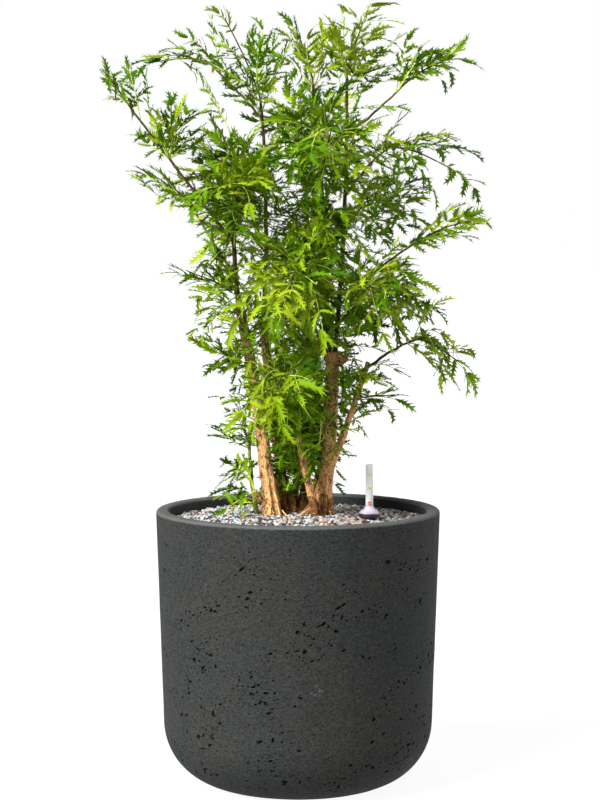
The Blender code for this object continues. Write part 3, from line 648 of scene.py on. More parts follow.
def shell_mesh():
    """The rim and the inner wall down past the gravel."""
    inner = POT_RADIUS - POT_WALL
    rim = arc((POT_RADIUS - RIM_ROUND, RIM_FOOT), RIM_ROUND, 0.0, 90.0, 6)
    rim += arc((inner + RIM_ROUND, RIM_FOOT), RIM_ROUND, 90.0, 180.0, 6)
    inside = [
        (inner - 0.0004 * k / LIP_ROWS, RIM_FOOT - LIP_DEPTH * k / LIP_ROWS) for k in range(1, LIP_ROWS + 1)
    ]
    points, faces = lathe(rim + inside, 180)
    for point in points:
        place = Vector(point)
        wear = noise.noise(place * 60.0) + 0.5 * noise.noise(place * 180.0)
        if point[2] > RIM_FOOT:
            point[2] -= 0.00025 * abs(wear)
        elif math.hypot(point[0], point[1]) < inner + 0.001:
            point[:2] *= 1.0 + 0.0025 * wear
    return crease(mesh_from(points, faces[:, ::-1]), 50)


def base_mesh():
    """The flat underside that the planter stands on."""
    foot = POT_FOOT_RADIUS - POT_CORNER_RADIUS
    radii = [foot * (1.0 - k / 6.0) for k in range(6)] + [0.001]
    return turned_mesh([(radius, 0.0) for radius in radii], 96)


def cement_finish(name, looks, painted_light_factor=1.0):
    """Dark fibre cement: cloudy, finely grained, with pale specks and a lighter rim top, partly wear and
    partly painted highlight; a factor above 1 gives a lighter copy, painted light.
    """
    finish = Finish(name, 0.86, gloss=0.14)
    level = finish.stretched((1.0, 1.0, 1.6))
    cloud = finish.grain(8.0, 3.0)
    patch = finish.grain(38.0, 4.0, distortion=0.6)
    grit = finish.grain(320.0, 4.0, level, 0.5)
    blue, olive = [
        tuple(a * b * painted_light_factor for a, b in zip(looks.colour, cast)) for cast in (BLUE_CAST, OLIVE_CAST)
    ]
    tint = finish.ramp(0.7 * cloud + 0.3 * patch, (0.38, blue), (0.6, olive))
    body = finish.scaled(tint, 2.9 * grit + 0.4 * patch - 0.64)
    scuff = finish.grain(11.0, 1.0).above(0.735) * finish.grain(260.0, 3.0, distortion=1.0).above(0.56)
    body = finish.blend(scuff * 0.22, body, SCUFF_COLOUR)
    pale = finish.grain(300.0, 1.0).above(0.79) * finish.grain(26.0, 1.0).above(0.46)
    body = finish.blend(pale * 0.6, body, shade(looks.colour, 5.0 * painted_light_factor))
    # Partly wear, partly painted highlight: the top of the rim is lighter, in patches.
    worn_and_highlit = finish.height().above(POT_HEIGHT - RIM_ROUND * 0.72) * (0.38 + 0.6 * finish.grain(90.0, 3.0))
    finish.colour(finish.blend(worn_and_highlit, body, shade(looks.colour, 4.3)))
    finish.relief(0.75 * grit + 0.25 * finish.grain(190.0, 2.0, level), 0.85, 0.001)
    finish.surface("Roughness", 0.78 + 0.16 * patch)
    return finish.material


def pit_finish(looks):
    """The inside of the air holes, painted darker than the cement as shade."""
    finish = Finish("cement_pit", 0.95, gloss=0.0)
    dark, pale = shade(looks.colour, 0.22), shade(looks.colour, 0.8)
    return finish.mottled(finish.grain(600.0, 1.0), (0.3, dark), (0.7, pale))


class ARALIA_OT_planter(bpy.types.Operator):
    """Build the fibre-cement planter with its air holes and its lighter rim top, partly wear and partly
    painted highlight
    """

    bl_idname = "aralia.planter"
    bl_label = "Planter"

    def execute(self, context):
        looks = context.scene.aralia_planter
        # Painted light: the rim and inner wall take the cement 1.4 times lighter.
        cement, lip = cement_finish("fibre_cement", looks), cement_finish("fibre_cement_rim", looks, 1.4)
        # Painted shade: the insides of the pits take a darker cement.
        pit = pit_finish(looks)
        add_piece("planter_wall", wall_mesh(looks), [cement, pit], ["pot"])
        add_piece("planter_rim", shell_mesh(), [lip], ["pot"])
        add_piece("planter_base", base_mesh(), [cement], ["pot"])
        return {"FINISHED"}


# Gravel

class GravelLooks(bpy.types.PropertyGroup):
    """Sizes and colours of the gravel."""

    spacing: length_setting("Spacing", "Least distance between the middles of two stones", 0.0044)
    stone: length_setting("Stone", "Mean size of a stone", 0.0061)
    seed: count_setting("Seed", "Start of the random places of the stones", 5)
    cream: colour_setting("Cream", "Colour of the cream stones", (0.33, 0.26, 0.22))
    white: colour_setting("White", "Colour of the bluish white stones", (0.35, 0.415, 0.445))
    maroon: colour_setting("Maroon", "Colour of the dark red-brown stones", (0.062, 0.034, 0.034))


# Kinds of stone: the shares at which each kind starts and ends, its colour and how bright that is.
STONE_KINDS = (
    ("gravel_cream", 0.0, 0.3, "cream", 1.0),
    ("gravel_beige", 0.3, 0.45, "cream", 0.48),
    ("gravel_white", 0.45, 0.69, "white", 1.0),
    ("gravel_grey", 0.69, 0.77, "white", 0.28),
    ("gravel_maroon", 0.77, 1.0, "maroon", 0.7),
)
STONE_FACES = 3
STONE_RAGGEDNESS = 0.0011
STONES_PER_SQUARE_METRE = 400000.0
# Colours of the sheet under the stones: painted shade in the gaps between them.
BED_SHADE_DARK = (0.008, 0.005, 0.005)
BED_SHADE_PALE = (0.045, 0.032, 0.029)
BED_DEPTH = 0.004
STONE_DROP = 0.0016
GAUGE_DROP = 0.0016
GAUGE_HOLLOW = 0.02
BED_MARGIN = 0.0022
BED_ROWS = 60


def bed_height(x, y):
    """The height of the solid's top at a place, so that the stones follow its heaps."""
    hit = GRAVEL_SOLID.ray_cast(Vector((x, y, POT_HEIGHT)), -UP)[0]
    return hit.z if hit else GRAVEL_EDGE


def bed_mesh(drop, margin):
    """The top of the gravel as a low uneven mound, with a hollow for the gauge."""
    edge = POT_RADIUS - POT_WALL - margin
    radii = [0.0005] + [edge * (k / BED_ROWS) for k in range(1, BED_ROWS + 1)]
    points, faces = lathe([(radius, 0.0) for radius in radii], 160)
    for point in points:
        x, y = point[:2]
        uneven = 0.0008 * noise.noise(Vector((x, y, 0.0)) * 70.0)
        hollow = GAUGE_DROP * math.exp(-((math.hypot(x - GAUGE.x, y - GAUGE.y) / GAUGE_HOLLOW) ** 4))
        point[2] = bed_height(x, y) - drop + uneven - hollow
    return mesh_from(points, faces)


class StoneTree(Wiring):
    """The Geometry Nodes tree that scatters one kind of stone over the bed."""

    def __init__(self):
        super().__init__(bpy.data.node_groups.new("stones", "GeometryNodeTree"))
        self.socket("Geometry", "Geometry")
        for name in ("Spacing", "Size", "Raggedness", "Low", "High"):
            self.socket(name, "Float")
        self.socket("Seed", "Int")
        self.socket("Finish", "Material")
        self.socket("Geometry", "Geometry", "OUTPUT")
        self.given = self.node("NodeGroupInput").outputs
        stones = self.geometry("RealizeInstances", Geometry=self.instances(self.scatter()))
        finished = self.geometry("SetMaterial", Geometry=self.roughen(stones), Material=self.given["Finish"])
        self.node("NodeGroupOutput", {}, {"Geometry": finished})

    def socket(self, name, kind, side="INPUT"):
        """Add an input or an output to the tree."""
        self.tree.interface.new_socket(name=name, in_out=side, socket_type="NodeSocket" + kind)

    def geometry(self, kind, **inputs):
        """What one Geometry node gives."""
        return self.out("GeometryNode" + kind, {}, inputs)

    def random(self, kind, low, high, step):
        """A random value with fixed limits; each step gives other values."""
        made = self.node("FunctionNodeRandomValue", {"data_type": kind})
        limits = [socket for socket in made.inputs if socket.enabled and socket.name in ("Min", "Max")]
        for socket, limit in zip(limits, (low, high)):
            socket.default_value = limit
        self.feed(made.inputs["Seed"], Signal(self, self.given["Seed"]) + step)
        return next(socket for socket in made.outputs if socket.enabled)

    def scatter(self):
        """Points a least distance apart, of which those of one kind are kept."""
        given = self.given
        inputs = {"Mesh": given["Geometry"], "Distance Min": given["Spacing"], "Seed": given["Seed"],
                  "Density Max": STONES_PER_SQUARE_METRE}
        points = self.out("GeometryNodeDistributePointsOnFaces", {"distribute_method": "POISSON"}, inputs)
        kind = Signal(self, self.random("FLOAT", 0.0, 1.0, 1))
        too_low, too_high = kind.math("LESS_THAN", kind, given["Low"]), kind.above(given["High"])
        unwanted = kind.math("MAXIMUM", too_low, too_high)
        return self.geometry("DeleteGeometry", Geometry=points, Selection=unwanted)

    def instances(self, points):
        """A rounded block on every point, turned and stretched at random."""
        counts = {"Vertices " + axis: STONE_FACES for axis in "XYZ"}
        block = self.out("GeometryNodeMeshCube", {}, {"Size": (1.0, 1.0, 1.0), **counts})
        place = self.geometry("InputPosition")
        ball = self.vector("SCALE", {0: self.vector("NORMALIZE", {0: place}), "Scale": 0.54})
        mixed = self.out("ShaderNodeMix", {"data_type": "VECTOR"}, {0: 0.62, 4: place, 5: ball}, 1)
        rounded = self.geometry("SetPosition", Geometry=block, Position=mixed)
        turn = self.random("FLOAT_VECTOR", (0.0, 0.0, 0.0), (6.28, 6.28, 6.28), 2)
        stretch = self.random("FLOAT_VECTOR", (0.55, 0.55, 0.45), (1.25, 1.05, 0.95), 3)
        size = self.vector("SCALE", {0: stretch, "Scale": self.given["Size"]})
        return self.geometry("InstanceOnPoints", Points=points, Instance=rounded, Rotation=turn, Scale=size)

    def roughen(self, stones):
        """Every stone's corners pushed about, so that no two are alike."""
        cloud = self.out("ShaderNodeTexNoise", {}, {"Scale": 330.0, "Detail": 1.0}, "Color")
        centred = self.vector("SUBTRACT", {0: cloud, 1: (0.5, 0.5, 0.5)})
        push = self.vector("SCALE", {0: centred, "Scale": self.given["Raggedness"]})
        return self.geometry("SetPosition", Geometry=stones, Offset=push)


def set_input(modifier, name, value):
    """Set a named input of a Geometry Nodes modifier by its identifier."""
    for item in modifier.node_group.interface.items_tree:
        if item.in_out == "INPUT" and item.name == name:
            modifier[item.identifier] = value


def evaluated_mesh(item):
    """The plain mesh of an object as its modifiers leave it."""
    depsgraph = bpy.context.evaluated_depsgraph_get()
    depsgraph.update()
    return bpy.data.meshes.new_from_object(item.evaluated_get(depsgraph))


def stone_mesh(name, group, looks, low, high, material):
    """One kind of stone, scattered over the bed."""
    bed = add_object(name + "_bed", bed_mesh(STONE_DROP, BED_MARGIN))
    scatter = bed.modifiers.new("stones", "NODES")
    scatter.node_group = group
    sizes = {"Spacing": looks.spacing, "Size": looks.stone, "Raggedness": STONE_RAGGEDNESS}
    for key, value in {**sizes, "Low": low, "High": high, "Seed": looks.seed, "Finish": material}.items():
        set_input(scatter, key, value)
    mesh = evaluated_mesh(bed)
    bpy.data.objects.remove(bed, do_unlink=True)
    mesh.polygons.foreach_set("use_smooth", np.full(len(mesh.polygons), True))
    return crease(mesh, 32)


def stone_finish(name, colour):
    """Stones of one kind, each patch a little lighter or darker."""
    finish = Finish(name, 0.72)
    finish.relief(finish.grain(1400.0, 1.0), 0.25, 0.0002)
    return finish.mottled(finish.grain(160.0, 2.0), (0.3, shade(colour, 0.7)), (0.68, shade(colour, 1.18)))


class ARALIA_OT_gravel(bpy.types.Operator):
    """Scatter the mixed gravel over the planting fill"""

    bl_idname = "aralia.gravel"
    bl_label = "Gravel"

    def execute(self, context):
        looks = context.scene.aralia_gravel
        # Painted shade: a dark sheet under the stones darkens the gaps between them.
        finish = Finish("gravel_bed", 0.9)
        gap_shade = finish.mottled(finish.grain(300.0), (0.3, BED_SHADE_DARK), (0.7, BED_SHADE_PALE))
        add_piece("gravel_bed", bed_mesh(BED_DEPTH, 0.0005), [gap_shade], ["gravel"])
        group = StoneTree().tree
        for name, low, high, colour, factor in STONE_KINDS:
            material = stone_finish(name, shade(getattr(looks, colour), factor))
            add_piece(name, stone_mesh(name, group, looks, low, high, material), [material])
        return {"FINISHED"}


# Water gauge

class GaugeLooks(bpy.types.PropertyGroup):
    """Colours of the water gauge."""

    tube: colour_setting("Tube", "Colour of the milky tube", (0.71, 0.706, 0.706))
    collar: colour_setting("Collar", "Colour of the dark collar", (0.03, 0.014, 0.024))
    marks: colour_setting("Marks", "Colour of the plain bars on the scale", (0.66, 0.46, 0.05))
    faded: colour_setting("Faded Marks", "Colour of the thin bars on the scale", (0.62, 0.54, 0.3))
    float_colour: colour_setting("Float", "Colour of the float at the foot of the scale", (0.42, 0.02, 0.03))


CLEAR = (0.74, 0.7, 0.82)
LILAC = (0.78, 0.74, 0.86)
SCALE_GREY = (0.85, 0.85, 0.85)
COLLAR_LIP = 0.0007
COLLAR_RIBS = 48
CAP_WALL = 0.0007
TUBE_WALL = 0.0008
TUBE_ROWS = 24
SCALE_HALF_WIDTH = 0.0027
SCALE_THICKNESS = 0.0005
BAR_THICKNESS = 0.00015
PLATE_STEPS = 8
# Bars on the tube: name of the colour, low and high as heights over the tube's foot, half width and layer.
BARS = (
    ("marks", 0.0356, 0.0369, 0.003, 1),
    ("faded", 0.0382, 0.0387, 0.0028, 1),
    ("faded", 0.0334, 0.0338, 0.0028, 1),
    ("faded", 0.0188, 0.0195, 0.0026, 1),
    ("marks", 0.0197, 0.0207, 0.0018, 1),
    ("faded", 0.0209, 0.0216, 0.0026, 1),
    ("float_colour", 0.0006, 0.0044, 0.0021, 1),
    ("marks", 0.0018, 0.003, 0.0017, 2),
)
# The cap's outside from the neck to the foot: share of the way outwards, and share of its height.
CAP_BELL = (
    (0.0, 1.0), (0.02, 0.93), (0.05, 0.85), (0.1, 0.74), (0.16, 0.65), (0.25, 0.57), (0.36, 0.5),
    (0.48, 0.445), (0.6, 0.39), (0.75, 0.305), (0.87, 0.21), (0.94, 0.14), (0.97, 0.1), (0.99, 0.05),
    (1.0, 0.0),
)


def upright(low, high):
    """The foot of an upright solid's middle line, its radius and its height, from its box."""
    middle = (low + high) / 2
    return Vector((middle.x, middle.y, low.z)), (high.x - low.x) / 2, high.z - low.z


def box_mesh(low, high):
    """A block between two corners, with small rounded edges."""
    mesh = bpy.data.meshes.new("piece")
    size = [b - a for a, b in zip(low, high)]
    with reshaped(mesh) as shape:
        bmesh.ops.create_cube(shape, size=1.0)
        bmesh.ops.scale(shape, vec=size, verts=shape.verts)
        bmesh.ops.translate(shape, vec=[(a + b) / 2 for a, b in zip(low, high)], verts=shape.verts)
        bmesh.ops.bevel(shape, geom=shape.edges[:], offset=min(size) * 0.2, segments=2, affect="EDGES")
    return crease(mesh, 30)


def plate_mesh(radius, half, low, high, thickness, place):
    """A thin curved plate on the front of a tube, as wide as twice the half width."""
    profile = ((radius, low), (radius + thickness, low), (radius + thickness, high), (radius, high))
    points, faces = [], []
    for k in range(PLATE_STEPS + 1):
        angle = -math.pi / 2 + (2.0 * k / PLATE_STEPS - 1.0) * half / radius
        for reach, height in profile:
            x, y = reach * math.cos(angle), reach * math.sin(angle)
            points.append((place.x + x, place.y + y, place.z + height))
    for k in range(PLATE_STEPS):
        for j in range(4):
            row, beside = 4 * k, (j + 1) % 4
            faces.append((row + j, row + 4 + j, row + 4 + beside, row + beside))
    faces += [(0, 1, 2, 3), tuple(4 * PLATE_STEPS + j for j in (3, 2, 1, 0))]
    return mesh_from(points, faces, smooth=False)


def plastic_finish(name, colour, roughness, alpha=1.0, clouding=0.08):
    """Moulded plastic with faint clouding and a fine uneven gloss."""
    finish = Finish(name, roughness, alpha=alpha)
    finish.surface("Roughness", roughness - 0.06 + 0.12 * finish.grain(240.0, 2.0))
    darker, lighter = shade(colour, 1.0 - clouding), shade(colour, 1.0 + clouding)
    return finish.mottled(finish.grain(90.0, 2.0), (0.3, darker), (0.7, lighter))


class ARALIA_OT_gauge(bpy.types.Operator):
    """Build the water gauge: ribbed collar, clear domed cap, milky tube and scale"""

    bl_idname = "aralia.gauge"
    bl_label = "Water Gauge"

    def execute(self, context):
        looks = context.scene.aralia_gauge
        self.collar(looks)
        self.cap(looks)
        self.tube(looks)
        return {"FINISHED"}

    def collar(self, looks):
        """The dark collar, with a rounded lip and fine upright ribs."""
        place, radius, height = upright(*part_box("gauge_collar"))
        lip = COLLAR_LIP
        profile = [(0.002, 0.0), (radius - lip, 0.0)] + arc((radius - lip, lip), lip, -60.0, 0.0, 3)
        profile += arc((radius - lip, height - lip), lip, 0.0, 90.0, 4) + [(0.002, height)]
        points, faces = lathe(profile, 144)
        for point in points:
            if math.hypot(point[0], point[1]) > radius - lip * 0.6:
                wave = math.cos(COLLAR_RIBS * math.atan2(point[1], point[0]))
                point[:2] *= 1.0 - 0.012 * (0.5 + 0.5 * wave)
        mesh = mesh_from(points + np.array(place), faces)
        material = plastic_finish("dark_plastic", looks.collar, 0.34)
        add_piece("gauge_collar_ribbed", mesh, [material], ["gauge_collar"])

    def cap(self, looks):
        """The clear cap that flares out to the collar, with its inner core and ring."""
        place, radius, height = upright(*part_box("gauge_cap"))
        tube = upright(*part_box("gauge_tube"))[1]
        neck = tube + 0.0004
        outside = [(neck + (radius - neck) * share, height * rise) for share, rise in CAP_BELL]
        inside = [(reach - CAP_WALL, rise - CAP_WALL * 0.7) for reach, rise in reversed(outside[:-1])]
        shell = outside + [(radius - CAP_WALL, 0.0)] + inside
        clear = plastic_finish("clear_plastic", CLEAR, 0.14, alpha=0.44, clouding=0.04)
        mesh = turned_mesh(shell, 72, place, closed=True)
        add_piece("gauge_cap_clear", mesh, [clear], ["gauge_cap"])
        core = [(0.0004, height * 0.78), (tube * 0.9, height * 0.78), (tube * 1.05, height * 0.5),
                (radius * 0.52, height * 0.26), (radius * 0.58, 0.0002), (0.0004, 0.0002)]
        lilac = plastic_finish("lilac_plastic", LILAC, 0.3)
        add_piece("gauge_cap_core", turned_mesh(core, 48, place), [lilac])
        ring = [(radius * 0.6, 0.0002), (radius * 0.93, 0.0002), (radius * 0.91, height * 0.12),
                (radius * 0.64, height * 0.33)]
        plum = plastic_finish("plum_plastic", looks.collar, 0.4)
        mesh = turned_mesh(ring, 60, place, closed=True)
        add_piece("gauge_cap_ring", mesh, [plum])

    def tube(self, looks):
        """The open tube with a thin wall, and the scale and its bars inside it."""
        low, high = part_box("gauge_tube")
        place, radius, height = upright(low, high)
        lip = TUBE_WALL / 2
        rows = [height * k / TUBE_ROWS for k in range(TUBE_ROWS)]
        profile = [(radius, row) for row in rows] + arc((radius - lip, height - lip), lip, 0.0, 90.0, 4)
        profile += [(radius - TUBE_WALL, row) for row in reversed(rows)]
        milky = plastic_finish("milky_plastic", looks.tube, 0.25, alpha=0.94, clouding=0.03)
        mesh = turned_mesh(profile, 64, place, closed=True)
        add_piece("gauge_tube_wall", mesh, [milky], ["gauge_tube"])
        face = place.y - SCALE_THICKNESS
        near = (place.x - SCALE_HALF_WIDTH, face, low.z + 0.001)
        far = (place.x + SCALE_HALF_WIDTH, face + SCALE_THICKNESS, high.z - 0.003)
        grey = plastic_finish("scale_plastic", SCALE_GREY, 0.4, clouding=0.04)
        add_piece("gauge_scale", box_mesh(near, far), [grey])
        for k, (colour, foot, top, half, layer) in enumerate(BARS):
            name = "gauge_bar_" + str(k + 1)
            bar = plate_mesh(radius, half, foot, top, BAR_THICKNESS * layer, place)
            add_piece(name, bar, [plastic_finish(name, getattr(looks, colour), 0.45)])


# Stems and boughs

class BarkLooks(bpy.types.PropertyGroup):
    """Sizes and colours of the bark."""

    pale: colour_setting("Pale Bark", "Colour of the raised fibres", (0.66, 0.358, 0.145))
    deep: colour_setting("Deep Bark", "Colour in the cracks", (0.08, 0.036, 0.013))
    young: colour_setting("Young Bark", "Colour of the upper boughs", (0.055, 0.032, 0.014))
    ridge: length_setting("Ridge", "Height of the bark's ridges", 0.00055)


GREEN_BARK = ((0.06, 0.062, 0.012), (0.26, 0.3, 0.05))
# Below the first height the bark of the front stems is dark and earthy, their root collar; below the second
# the bark of the inner stems is painted darker, as shade.
ROOT_COLLAR = 0.375
SHADED_HEIGHT = 0.48
# Bark is painted darker above this height, as shade under the crown, by so much of its colour for each metre.
CROWN_FOOT = 0.445
CROWN_SHADE_RATE = 5.5
BARK_ROW = 0.0013
BOUGH_ROW = 0.0026
ROOT_ROW = 0.0018
THICK_STEM = 0.006
SCAR_SPACING = 0.017
SCAR_HEIGHT = 0.0014
# A sawn end: rings of corners inwards, each as a share of the radius, and how far it stands out.
SAWN_RINGS = ((0.72, -0.0006), (0.36, 0.0003), (0.02, 0.0008))
ROOT_POINTS = 12
ROOT_STRANDS = (
    # bearer, share of its length at the top, angle round it there, x and y of the foot, and radius
    ("stem_left", 0.235, -42.0, (-0.0215, -0.02), 0.00115),
    ("stem_left", 0.15, -38.0, (-0.011, -0.0215), 0.00095),
    ("stem_left", 0.13, -80.0, (-0.029, -0.019), 0.0009),
    ("stem_right", 0.19, -140.0, (-0.002, -0.023), 0.00085),
    ("stem_right", 0.15, -50.0, (0.041, -0.015), 0.001),
    ("stem_right", 0.12, -95.0, (0.018, -0.022), 0.0008),
)
# Strands in the shaded bark between the stems' feet: painted shade that fills the gap.
SHADE_ROOTS = (
    ("stem_back_left", 0.3, -20.0, (-0.005, 0.016), 0.004),
    ("stem_right", 0.33, 160.0, (0.005, 0.012), 0.0042),
    ("stem_right", 0.42, 175.0, (0.013, 0.006), 0.0032),
    ("stem_back", 0.22, -110.0, (-0.001, 0.026), 0.004),
    ("stem_back", 0.48, 190.0, (-0.007, 0.032), 0.0042),
    ("stem_back", 0.33, 180.0, (-0.0125, 0.036), 0.0046),
)


def along_line(points, share):
    """The point and direction at a share of the way along a line, its step and its share of that."""
    place = min(max(share, 0.0), 1.0) * (len(points) - 1)
    k = min(int(place), len(points) - 2)
    rest = place - k
    return points[k].lerp(points[k + 1], rest), (points[k + 1] - points[k]).normalized(), k, rest


def curve_at(points, share):
    """The point and direction at a share of the way along a line."""
    return along_line(points, share)[:2]


def squared(seed, direction):
    """The side of a direction that is nearest to a seed."""
    return (seed - direction * seed.dot(direction)).normalized()


def swing(first, second, angle):
    """The direction at an angle from the first one towards the second."""
    return first * math.cos(angle) + second * math.sin(angle)


class Limb:
    """A stem or bough: its middle line and its radius at each point of that line."""

    def __init__(self, name, line, radii):
        self.name, self.line, self.radii = name, line, radii
        self.length = sum((b - a).length for a, b in zip(line, line[1:]))

    def at(self, share):
        """The point, direction and radius at a share of the way from foot to tip."""
        point, direction, k, rest = along_line(self.line, share)
        return point, direction, self.radii[k] + (self.radii[k + 1] - self.radii[k]) * rest


def bowed_line(foot, tip, bow, rings):
    """Points from foot to tip along a line whose middle is pushed aside by the bow."""
    shares = [k / (rings - 1) for k in range(rings)]
    return [foot.lerp(tip, t) + bow * (4.0 * t * (1.0 - t)) for t in shares]


def grow_limbs():
    """Every stem, leader and bough by name, as in the solids."""
    limbs = {}
    for name, foot, tip, bow, foot_radius, tip_radius, flare in STEMS:
        foot = Vector((foot[0], foot[1], GRAVEL_TOP - STEM_SINK))
        line = bowed_line(foot, Vector(tip), Vector(bow), STEM_RINGS)
        height = line[-1].z - GRAVEL_TOP
        line.insert(1, line[0].lerp(line[1], FLARE_RING))
        radii = []
        for point in line:
            rise = max(point.z - GRAVEL_TOP, 0.0)
            radius = foot_radius + (tip_radius - foot_radius) * rise / height
            radii.append(radius + flare * math.exp(-rise / STEM_FLARE_HEIGHT))
        limbs[name] = Limb(name, line, radii)
    for name, bearer, share, tip, bow, (foot_radius, tip_radius) in BOUGHS:
        foot = limbs[bearer].at(share)[0] + Vector((*BESIDE.get(name, (0.0, 0.0)), 0.0))
        line = bowed_line(foot, Vector(tip), Vector(bow), BOUGH_RINGS)
        radii = [foot_radius + (tip_radius - foot_radius) * k / (BOUGH_RINGS - 1) for k in range(BOUGH_RINGS)]
        limbs[name] = Limb(name, line, radii)
    return limbs


LIMBS = grow_limbs()


def bark_radius(limb, radius, angle, point, along, looks, phase):
    """How far the bark is from the middle line, with lobes, fibres and leaf scars."""
    rise = max(point.z - GRAVEL_TOP, 0.0)
    spread = math.exp(-rise / 0.035) if limb.name.startswith("stem") else 0.0
    lobes = 0.17 * spread * math.sin(5 * angle + phase) + 0.08 * spread * math.sin(8 * angle + 2 * phase)
    around = Vector((math.cos(angle), math.sin(angle), 0.0))
    fibre = noise.noise(around * 3.1 + Vector((phase, phase, along * 42.0)))
    flake = noise.noise(around * 6.5 + Vector((phase, 3.0, along * 190.0)))
    fine = noise.noise(around * 12.0 + Vector((5.0, phase, along * 520.0)))
    knot = noise.noise(around * 1.2 + Vector((phase, 7.0, along * 26.0)))
    ridge = looks.ridge * min(1.0, radius / THICK_STEM)
    scar_place = (along + 0.004 * phase) % SCAR_SPACING - SCAR_SPACING / 2
    scar = 0.35 * ridge * math.exp(-((scar_place / SCAR_HEIGHT) ** 2))
    relief = ridge * (1.0 + 1.4 * spread) * (0.7 * fibre + 0.85 * flake + 0.65 * fine - 0.35) + scar
    return radius * (1.0 + lobes + 0.1 * knot) + relief


def bark_tube(limb, row, sides, looks):
    """Corners and faces of a limb with its bark, open at the foot, the tip sawn flat."""
    phase = sum(map(ord, limb.name)) % 17 * 0.37
    rows = max(4, round(limb.length / row))
    side = Vector((1.0, 0.0, 0.0))
    points, faces = [], []
    for k in range(rows + 1):
        share = k / rows
        point, direction, radius = limb.at(share)
        direction = (direction + limb.at(min(1.0, share + 0.02))[1]).normalized()
        side = squared(side, direction)
        across = direction.cross(side)
        wander = 0.0006 * min(1.0, 6.0 * share * (1.0 - share) * 4.0)
        drift = side * noise.noise(Vector((phase, 0.0, share * 7.0)))
        drift += across * noise.noise(Vector((0.0, phase, share * 7.0)))
        middle = point + drift * wander * 2.0
        for angle in round_ring(sides):
            reach = bark_radius(limb, radius, angle, point, share * limb.length, looks, phase)
            points.append(middle + swing(side, across, angle) * reach)
    for k in range(rows):
        faces += band(k * sides, (k + 1) * sides, sides)
    slots = [0] * len(faces)
    tip, direction, radius = limb.at(1.0)
    border = points[-sides:]
    for share, drop in SAWN_RINGS:
        faces += band(len(points) - sides, len(points), sides)
        for corner in border:
            outer = corner - tip
            flat = outer - direction * outer.dot(direction)
            points.append(tip + flat * share + direction * (drop * radius / THICK_STEM))
    return points, faces, slots + [1] * (len(SAWN_RINGS) * sides)


def bark_mesh(limbs, row, sides, looks):
    """One mesh of several limbs."""
    points, faces, slots = [], [], []
    for limb in limbs:
        own_points, own_faces, own_slots = bark_tube(limb, row, sides, looks)
        faces += [tuple(k + len(points) for k in face) for face in own_faces]
        points += own_points
        slots += own_slots
    return mesh_from([tuple(point) for point in points], faces, slots)


def bark_finish(name, looks, collar=None):
    """Rough tan bark with dark pits and pale flecks, dark below a collar's height (earthy at a root collar,
    painted shade on the inner stems), and painted darker as shade up into the crown.
    """
    finish = Finish(name, 0.85, gloss=0.1)
    upward = finish.stretched((1.0, 1.0, 0.45))
    streak = finish.grain(280.0, 3.0, upward, 0.8)
    speck = finish.grain(520.0, 2.0, None, 0.4)
    blotch = finish.grain(48.0, 3.0)
    tone = 0.36 * streak + 0.36 * speck + 0.28 * blotch
    middle = between(looks.deep, looks.pale, 0.5)
    stops = ((0.41, looks.deep), (0.46, middle), (0.53, looks.pale), (0.64, shade(looks.pale, 1.4)))
    body = finish.ramp(tone, *stops)
    pits = (1.0 - finish.cells(250.0).above(0.2)) * finish.grain(70.0, 1.0).above(0.47)
    body = finish.blend(pits * 0.75, body, shade(looks.deep, 0.7))
    # Dark foot: a root collar on the front stems, painted shade on the inner stems.
    if collar:
        ragged = finish.height() + 0.05 * finish.grain(70.0, 3.0)
        stops = ((0.4, shade(looks.deep, 0.55)), (0.54, shade(looks.deep, 2.5)), (0.64, looks.pale))
        body = finish.blend(1.0 - ragged.above(collar), body, finish.ramp(tone, *stops))
    # Painted shade: the bark darkens upwards from the foot of the crown.
    crown_shade = (CROWN_SHADE_RATE * (CROWN_FOOT - finish.height()) + 1.0).least(1.0)
    finish.colour(finish.scaled(body, crown_shade))
    finish.relief(0.5 * streak + 0.5 * speck, 0.8, 0.0009)
    return finish.material


def young_bark_finish(name, looks):
    """Thin dark bark with paler flecks."""
    finish = Finish(name, 0.7, gloss=0.12)
    streak = finish.grain(420.0, 3.0, finish.stretched((1.0, 1.0, 0.3)))
    finish.relief(streak, 0.4, 0.0004)
    dark, pale = shade(looks.young, 0.55), shade(looks.young, 2.6)
    return finish.mottled(streak, (0.34, dark), (0.56, looks.young), (0.72, pale))


def sawn_finish(looks):
    """Weathered cut wood."""
    finish = Finish("sawn_wood", 0.85, gloss=0.1)
    dark, pale = shade(looks.deep, 1.4), shade(looks.pale, 0.75)
    return finish.mottled(finish.grain(300.0, 3.0), (0.35, dark), (0.65, pale))


def green_bark_finish():
    """The smooth bark of a young shoot."""
    finish = Finish("green_bark", 0.6, gloss=0.1)
    return finish.mottled(finish.grain(200.0, 3.0), (0.38, GREEN_BARK[0]), (0.62, GREEN_BARK[1]))


